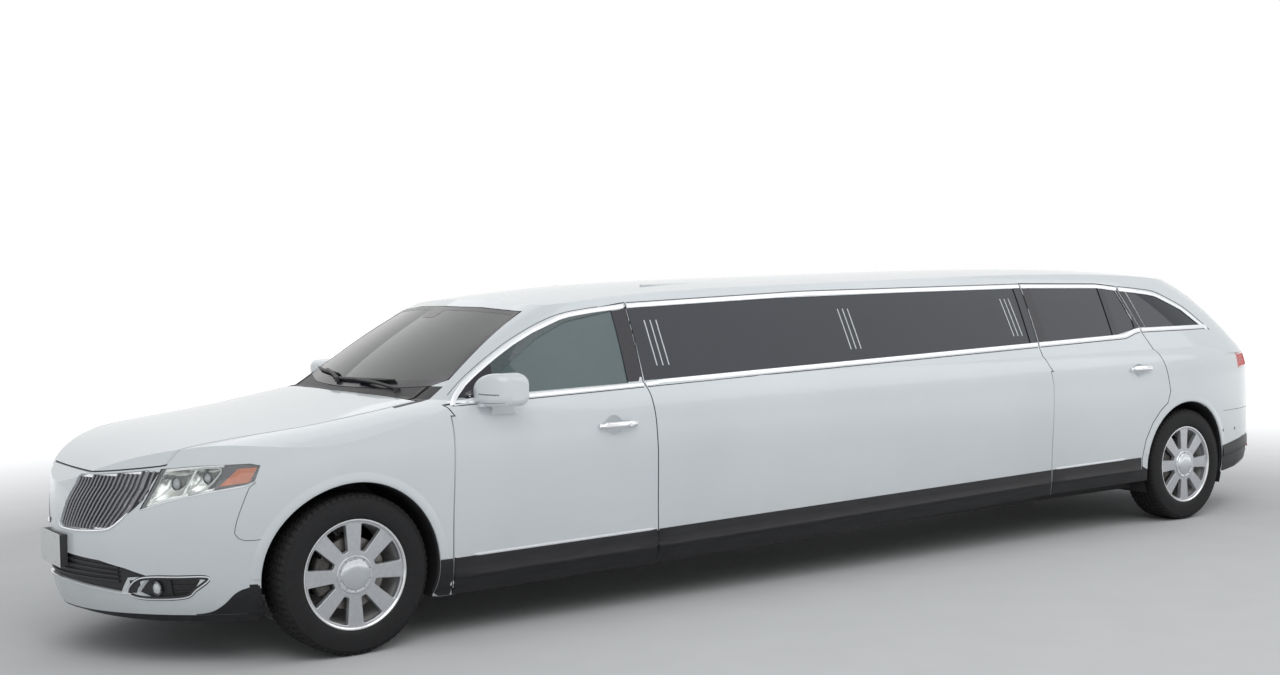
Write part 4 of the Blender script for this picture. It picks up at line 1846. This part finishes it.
def sensor(place, normal, name):
    """A parking sensor: a small disc in a fine ring, facing out of the skin."""
    outline = ((0.0003, 0.0012), (0.0075, 0.0012), (0.0085, 0.0004), (0.0088, -0.001), (0.0100, 0.0009),
               (0.0116, 0.0007), (0.0120, -0.002), (0.0003, -0.002))
    faced(name, outline, place, normal, "body", "lamp_grey", steps=24, whole=False)


def exhaust_tip(word, side):
    """An oval bright tip through the valance, dark inside, and its tail pipe from the silencer."""
    y, z = side * 0.560, 0.372
    x = rear_hit(y, z)[0].x
    shape = ((-0.070, 1.00), (0.012, 1.00), (0.016, 0.97), (0.014, 0.90), (-0.066, 0.86))
    verts = []
    steps = 40
    for k in range(steps):
        a = math.tau * k / steps
        flat = 1 / (abs(math.cos(a)) ** 3 + abs(math.sin(a)) ** 3) ** (1 / 3)
        verts += [Vector((x - back, y + 0.072 * flat * scale * math.cos(a),
                          z + 0.036 * flat * scale * math.sin(a))) for back, scale in shape]
    count = len(shape)
    faces = ring_faces(steps, count, closed=True, whole=False)
    finish_mesh("exhaust_tip_" + word, verts, faces, "body", "chrome", sharp=40)
    deep = x + 0.052
    verts = [Vector((deep, v.y, v.z)) for v in verts[count - 1::count]] + [Vector((deep, y, z))]
    faces = [(k, (k + 1) % steps, steps) for k in range(steps)]
    finish_mesh("exhaust_dark_" + word, verts, faces, "body", "underbody")
    route = [(5.40, -0.25, 0.205), (5.56, -0.25, 0.212), (5.70, -0.27, 0.235), (6.38, side * 0.36, 0.235),
             (6.62, side * 0.42, 0.262), (6.90, side * 0.54, 0.320),
             (AXLE_X - x - 0.05, side * 0.56, 0.368)]
    points = [(at(s), across, height) for s, across, height in curve_points(route, 0.04)]
    tube("tail_pipe_" + word, points, 0.026, "body", "steel", sides=14)


def tail_lamps():
    """Dark ends, fine upright ribs, a clear middle and a bright upper line on the lamp bar."""
    for name, body, a0, a1 in (("gate", "tailgate", -45.0, 45.0), ("left", "body", 51.0, 88.0),
                               ("right", "body", -88.0, -51.0)):
        node = "tailgate_lamp" if name == "gate" else "tail_lamps"
        tree = tree_of([node])
        count = 90 if name == "gate" else 44
        angles = [a for a in spread(math.radians(a0), math.radians(a1), count) if ring_hit(a, 1.035, tree)]
        if len(angles) < 6:
            continue
        rails = ((1.0795, "chrome", "chrome", 0.007, 0.004), (0.9905, "chrome", "chrome", 0.005, 0.003),
                 (1.035, "lamp_grey", "paint", 0.003, 0.0012))
        for index, (z, material, slot, width, height) in enumerate(rails):
            line = [ring_hit(a, z, tree) for a in angles]
            line = mended([item for item in line if item])
            strip("lamp_rail_%d_%s" % (index, name), line, width, height, body, material, taper=2)
        for k, angle in list(enumerate(angles[2:-2]))[::2]:
            line = [ring_hit(angle, z, tree) for z in (0.996, 1.012, 1.030, 1.040, 1.058, 1.074)]
            if all(line):
                strip("lamp_rib_%02d_%s" % (k, name), line, 0.0022, 0.0016, body, "red_lens")


def plate_recess():
    """A dark sunk panel under the lamp bar with a blank plate, its lamps and a bright handle bar."""
    outline = rounded_rectangle(0.0, 0.852, 0.310, 0.100, 0.022)
    ring = mended([rear_hit(y, z) for y, z in outline])
    strip("plate_recess_edge", ring, 0.010, 0.005, "tailgate", "paint", closed=True, lift=-0.0036)
    rows = [rear_line(-0.302, 0.302, 31, z) for z in spread(0.760, 0.944, 12)]
    skin_patch("plate_recess_panel", rows, "tailgate", "lamp_grey", 0.0002)
    place, normal = rear_hit(0.0, 0.842)
    tilt = math.atan2(normal.z, -normal.x)
    box_piece("rear_plate", place - normal * 0.0007, (0.003, 0.3048, 0.1524), "tailgate", "plate",
              bevel=0.0012, turn=(0, tilt, 0))
    up_line = Vector((math.sin(tilt), 0, math.cos(tilt)))
    for index, (y, z) in enumerate(((-0.0889, 0.056), (0.0889, 0.056), (-0.0889, -0.056),
                                    (0.0889, -0.056))):
        spot = place - normal * 0.0004 + up_line * z + Vector((0, y, 0))
        box_piece("rear_plate_screw_%d" % index, spot, (0.003, 0.011, 0.011), "tailgate", "steel_bright",
                  bevel=0.0014)
    line = rear_line(-0.285, 0.285, 25, 0.9395)
    strip("tailgate_handle_bar", line, 0.026, 0.016, "tailgate", "satin_chrome", taper=2)
    for word, side in SIDES:
        line = rear_line(side * 0.085, side * 0.135, 5, 0.9215)
        strip("plate_lamp_" + word, line, 0.010, 0.008, "tailgate", "bulb_glass")


SPOILER_STATION = 6.517


def tail_glass_trim():
    """Black border round the tail glass, and its heater lines."""
    border = [(0.0, 1.178), (0.30, 1.178), (0.592, 1.178), (0.632, 1.205), (0.590, 1.350), (0.540, 1.494),
              (0.30, 1.508), (0.0, 1.516)]
    outer = straight_points(border, 0.03)
    for word, side in SIDES:
        rows = []
        for share in (0.0, 0.5, 1.0):
            rows.append(mended([rear_hit(side * y * (1 - 0.055 * share), z + (1.345 - z) * 0.14 * share)
                                for y, z in outer]))
        skin_patch("tail_glass_border_" + word, rows, "tailgate", "gloss_black", lifts=-0.0034, edge=0.0)
    for k in range(9):
        line = rear_line(-0.50 + 0.012 * k, 0.50 - 0.012 * k, 13, 1.255 + 0.024 * k)
        strip("heater_line_%d" % k, line, 0.0012, 0.0003, "tailgate", "amber_lens",
              lift=-0.0036)


def tail_wiper():
    """A boss under the glass, an arm and a blade along the glass foot."""
    def on_tail(y, z, lift):
        place, normal = rear_hit(y, z)
        return place + normal * lift, normal
    boss, normal = on_tail(0.0, 1.184, 0.0)
    tube("tail_wiper_boss", [boss - normal * 0.004, boss + normal * 0.026], 0.020, "tailgate",
         "black_plastic", sides=18)
    arm = [on_tail(0.0, 1.186, 0.022), on_tail(-0.10, 1.196, 0.024), on_tail(-0.21, 1.212, 0.018)]
    strip("tail_wiper_arm", arm, 0.018, 0.008, "tailgate", "black_plastic")
    blade = [on_tail(-0.04 - 0.34 * k / 12, 1.200 + 0.026 * k / 12, 0.002) for k in range(13)]
    strip("tail_wiper_blade", blade, 0.006, 0.012, "tailgate", "wiper_rubber")
    spine = [(place + n * 0.010, n) for place, n in blade]
    strip("tail_wiper_spine", spine, 0.014, 0.006, "tailgate", "black_plastic", taper=2)


def tail_spoiler():
    """Spoiler over the glass head with its stop lamp."""
    section = ((0.010, 0.0), (0.075, 0.004), (0.088, -0.004), (0.084, -0.016), (0.050, -0.020),
               (0.0, -0.030))
    rings = []
    for y in spread(-0.545, 0.545, 41):
        place = top_hit(SPOILER_STATION + 0.012 * (y / 0.545) ** 2, y)[0]
        fade = min(1.0, (0.560 - abs(y)) / 0.10)
        rings.append([Vector((place.x - back * (0.25 + 0.75 * fade), y,
                              place.z + 0.003 + rise * fade - back * 0.16)) for back, rise in section])
    verts = [v for ring in rings for v in ring]
    faces = ring_faces(len(rings), len(section))
    finish_mesh("tail_spoiler", verts, faces, "tailgate", "paint", sharp=30)
    lamp = []
    for y in spread(-0.17, 0.17, 11):
        edge = rings[min(range(41), key=lambda i: abs(rings[i][0].y - y))]
        lamp.append((Vector((edge[3].x + 0.001, y, (edge[2].z + edge[3].z) / 2)),
                     Vector((-1, 0, -0.2)).normalized()))
    strip("stop_lamp", lamp, 0.011, 0.006, "tailgate", "red_lens")


def tail():
    tail_lower()
    tail_lamps()
    plate_recess()
    tail_glass_trim()
    tail_wiper()
    tail_spoiler()


# Camera at the photograph's viewpoint, solved from the wheels and the body's known sizes
CAMERA_FROM_AXLE = (3.0775, 7.5696, 1.7023)
CAMERA_YAW = -2.184281
CAMERA_PITCH = -0.039111
CAMERA_ROLL = -0.01823
CAMERA_LENS = 45.03

look = Vector((math.cos(CAMERA_PITCH) * math.cos(CAMERA_YAW), math.cos(CAMERA_PITCH) * math.sin(CAMERA_YAW),
               math.sin(CAMERA_PITCH)))
right = look.cross(Vector((0, 0, 1))).normalized()
up = right.cross(look)
right_rolled = right * math.cos(CAMERA_ROLL) + up * math.sin(CAMERA_ROLL)
up_rolled = up * math.cos(CAMERA_ROLL) - right * math.sin(CAMERA_ROLL)
camera = bpy.data.objects.new("camera", bpy.data.cameras.new("camera"))
bpy.context.scene.collection.objects.link(camera)
camera.data.lens = CAMERA_LENS
camera.data.clip_end = 200
rows = [[right_rolled[i], up_rolled[i], -look[i], 0] for i in range(3)] + [[0, 0, 0, 1]]
camera.matrix_world = Matrix.Translation(Vector(CAMERA_FROM_AXLE) + Vector((AXLE_X, 0, 0))) @ Matrix(rows)
bpy.context.scene.camera = camera

# Floor, sky and lamps
WORLD_STRENGTH = 0.46


def floor_and_light():
    scene = bpy.context.scene
    scene.view_settings.view_transform = "Standard"
    mesh = bpy.data.meshes.new("studio_floor")
    reach = 60
    mesh.from_pydata([(-reach, -reach, 0), (reach, -reach, 0), (reach, reach, 0), (-reach, reach, 0)], [],
                     [(0, 1, 2, 3)])
    ground = bpy.data.objects.new("studio_floor", mesh)
    scene.collection.objects.link(ground)
    shader = Shader("studio_floor", (0.66, 0.66, 0.66), Roughness=0.9)
    shader.color(shader.ramp(shader.noise(3.0, 4.0),
                             ((0.35, (0.65, 0.65, 0.65)), (0.65, (0.67, 0.67, 0.67)))))
    across, along = shader.along("X"), shader.along("Y")
    far = shader.math("POWER", shader.math("ADD", shader.math("MULTIPLY", across, across),
                                           shader.math("MULTIPLY", along, along)), 0.5)
    glow = shader.range(far, 5.0, 12.0, 0.0, 1.0)
    shader.surface.inputs["Emission Color"].default_value = (1, 1, 1, 1)
    shader.link(glow, shader.surface.inputs["Emission Strength"])
    ground.data.materials.append(shader.material)
    world = bpy.data.worlds.new("studio")
    scene.world = world
    world.use_nodes = True
    tree = world.node_tree
    background = tree.nodes["Background"]
    background.inputs["Color"].default_value = (0.92, 0.96, 1.0, 1)
    background.inputs["Strength"].default_value = WORLD_STRENGTH
    white = tree.nodes.new("ShaderNodeBackground")
    white.inputs["Color"].default_value = (1, 1, 1, 1)
    path = tree.nodes.new("ShaderNodeLightPath")
    blend = tree.nodes.new("ShaderNodeMixShader")
    seen = path.outputs["Is Camera Ray"]
    for other in ("Is Glossy Ray", "Is Transmission Ray"):
        either = tree.nodes.new("ShaderNodeMath")
        either.operation = "MAXIMUM"
        tree.links.new(seen, either.inputs[0])
        tree.links.new(path.outputs[other], either.inputs[1])
        seen = either.outputs[0]
    tree.links.new(seen, blend.inputs["Fac"])
    tree.links.new(background.outputs[0], blend.inputs[1])
    tree.links.new(white.outputs[0], blend.inputs[2])
    tree.links.new(blend.outputs[0], tree.nodes["World Output"].inputs["Surface"])
    for name, place, size, power in (("key", (5, 8, 9), 8, 400), ("fill", (-6, 6, 7), 8, 200),
                                     ("back", (0, -8, 9), 9, 150)):
        lamp = bpy.data.lights.new(name, "AREA")
        lamp.size = size
        lamp.energy = power
        item = bpy.data.objects.new(name, lamp)
        item.location = place
        item.rotation_euler = (Vector((0, 0, 0.6)) - Vector(place)).to_track_quat("-Z", "Y").to_euler()
        scene.collection.objects.link(item)


window_trim()
pillar_patches()
darken_pillar_edges()
pinstripes()
cladding()
arch_lining()
screen_pane()
screen_border()
arch_lips()
upper_grille()
headlamps()
bumper_openings()
seams()
black_lower_edges()
under_lip()
front_plate()
wheels()
handles()
mirrors()
wipers()
tail()
line_inner_faces()
seats()
dashboard()
door_cards()
cabin()
engine_bay()
floor_and_light()
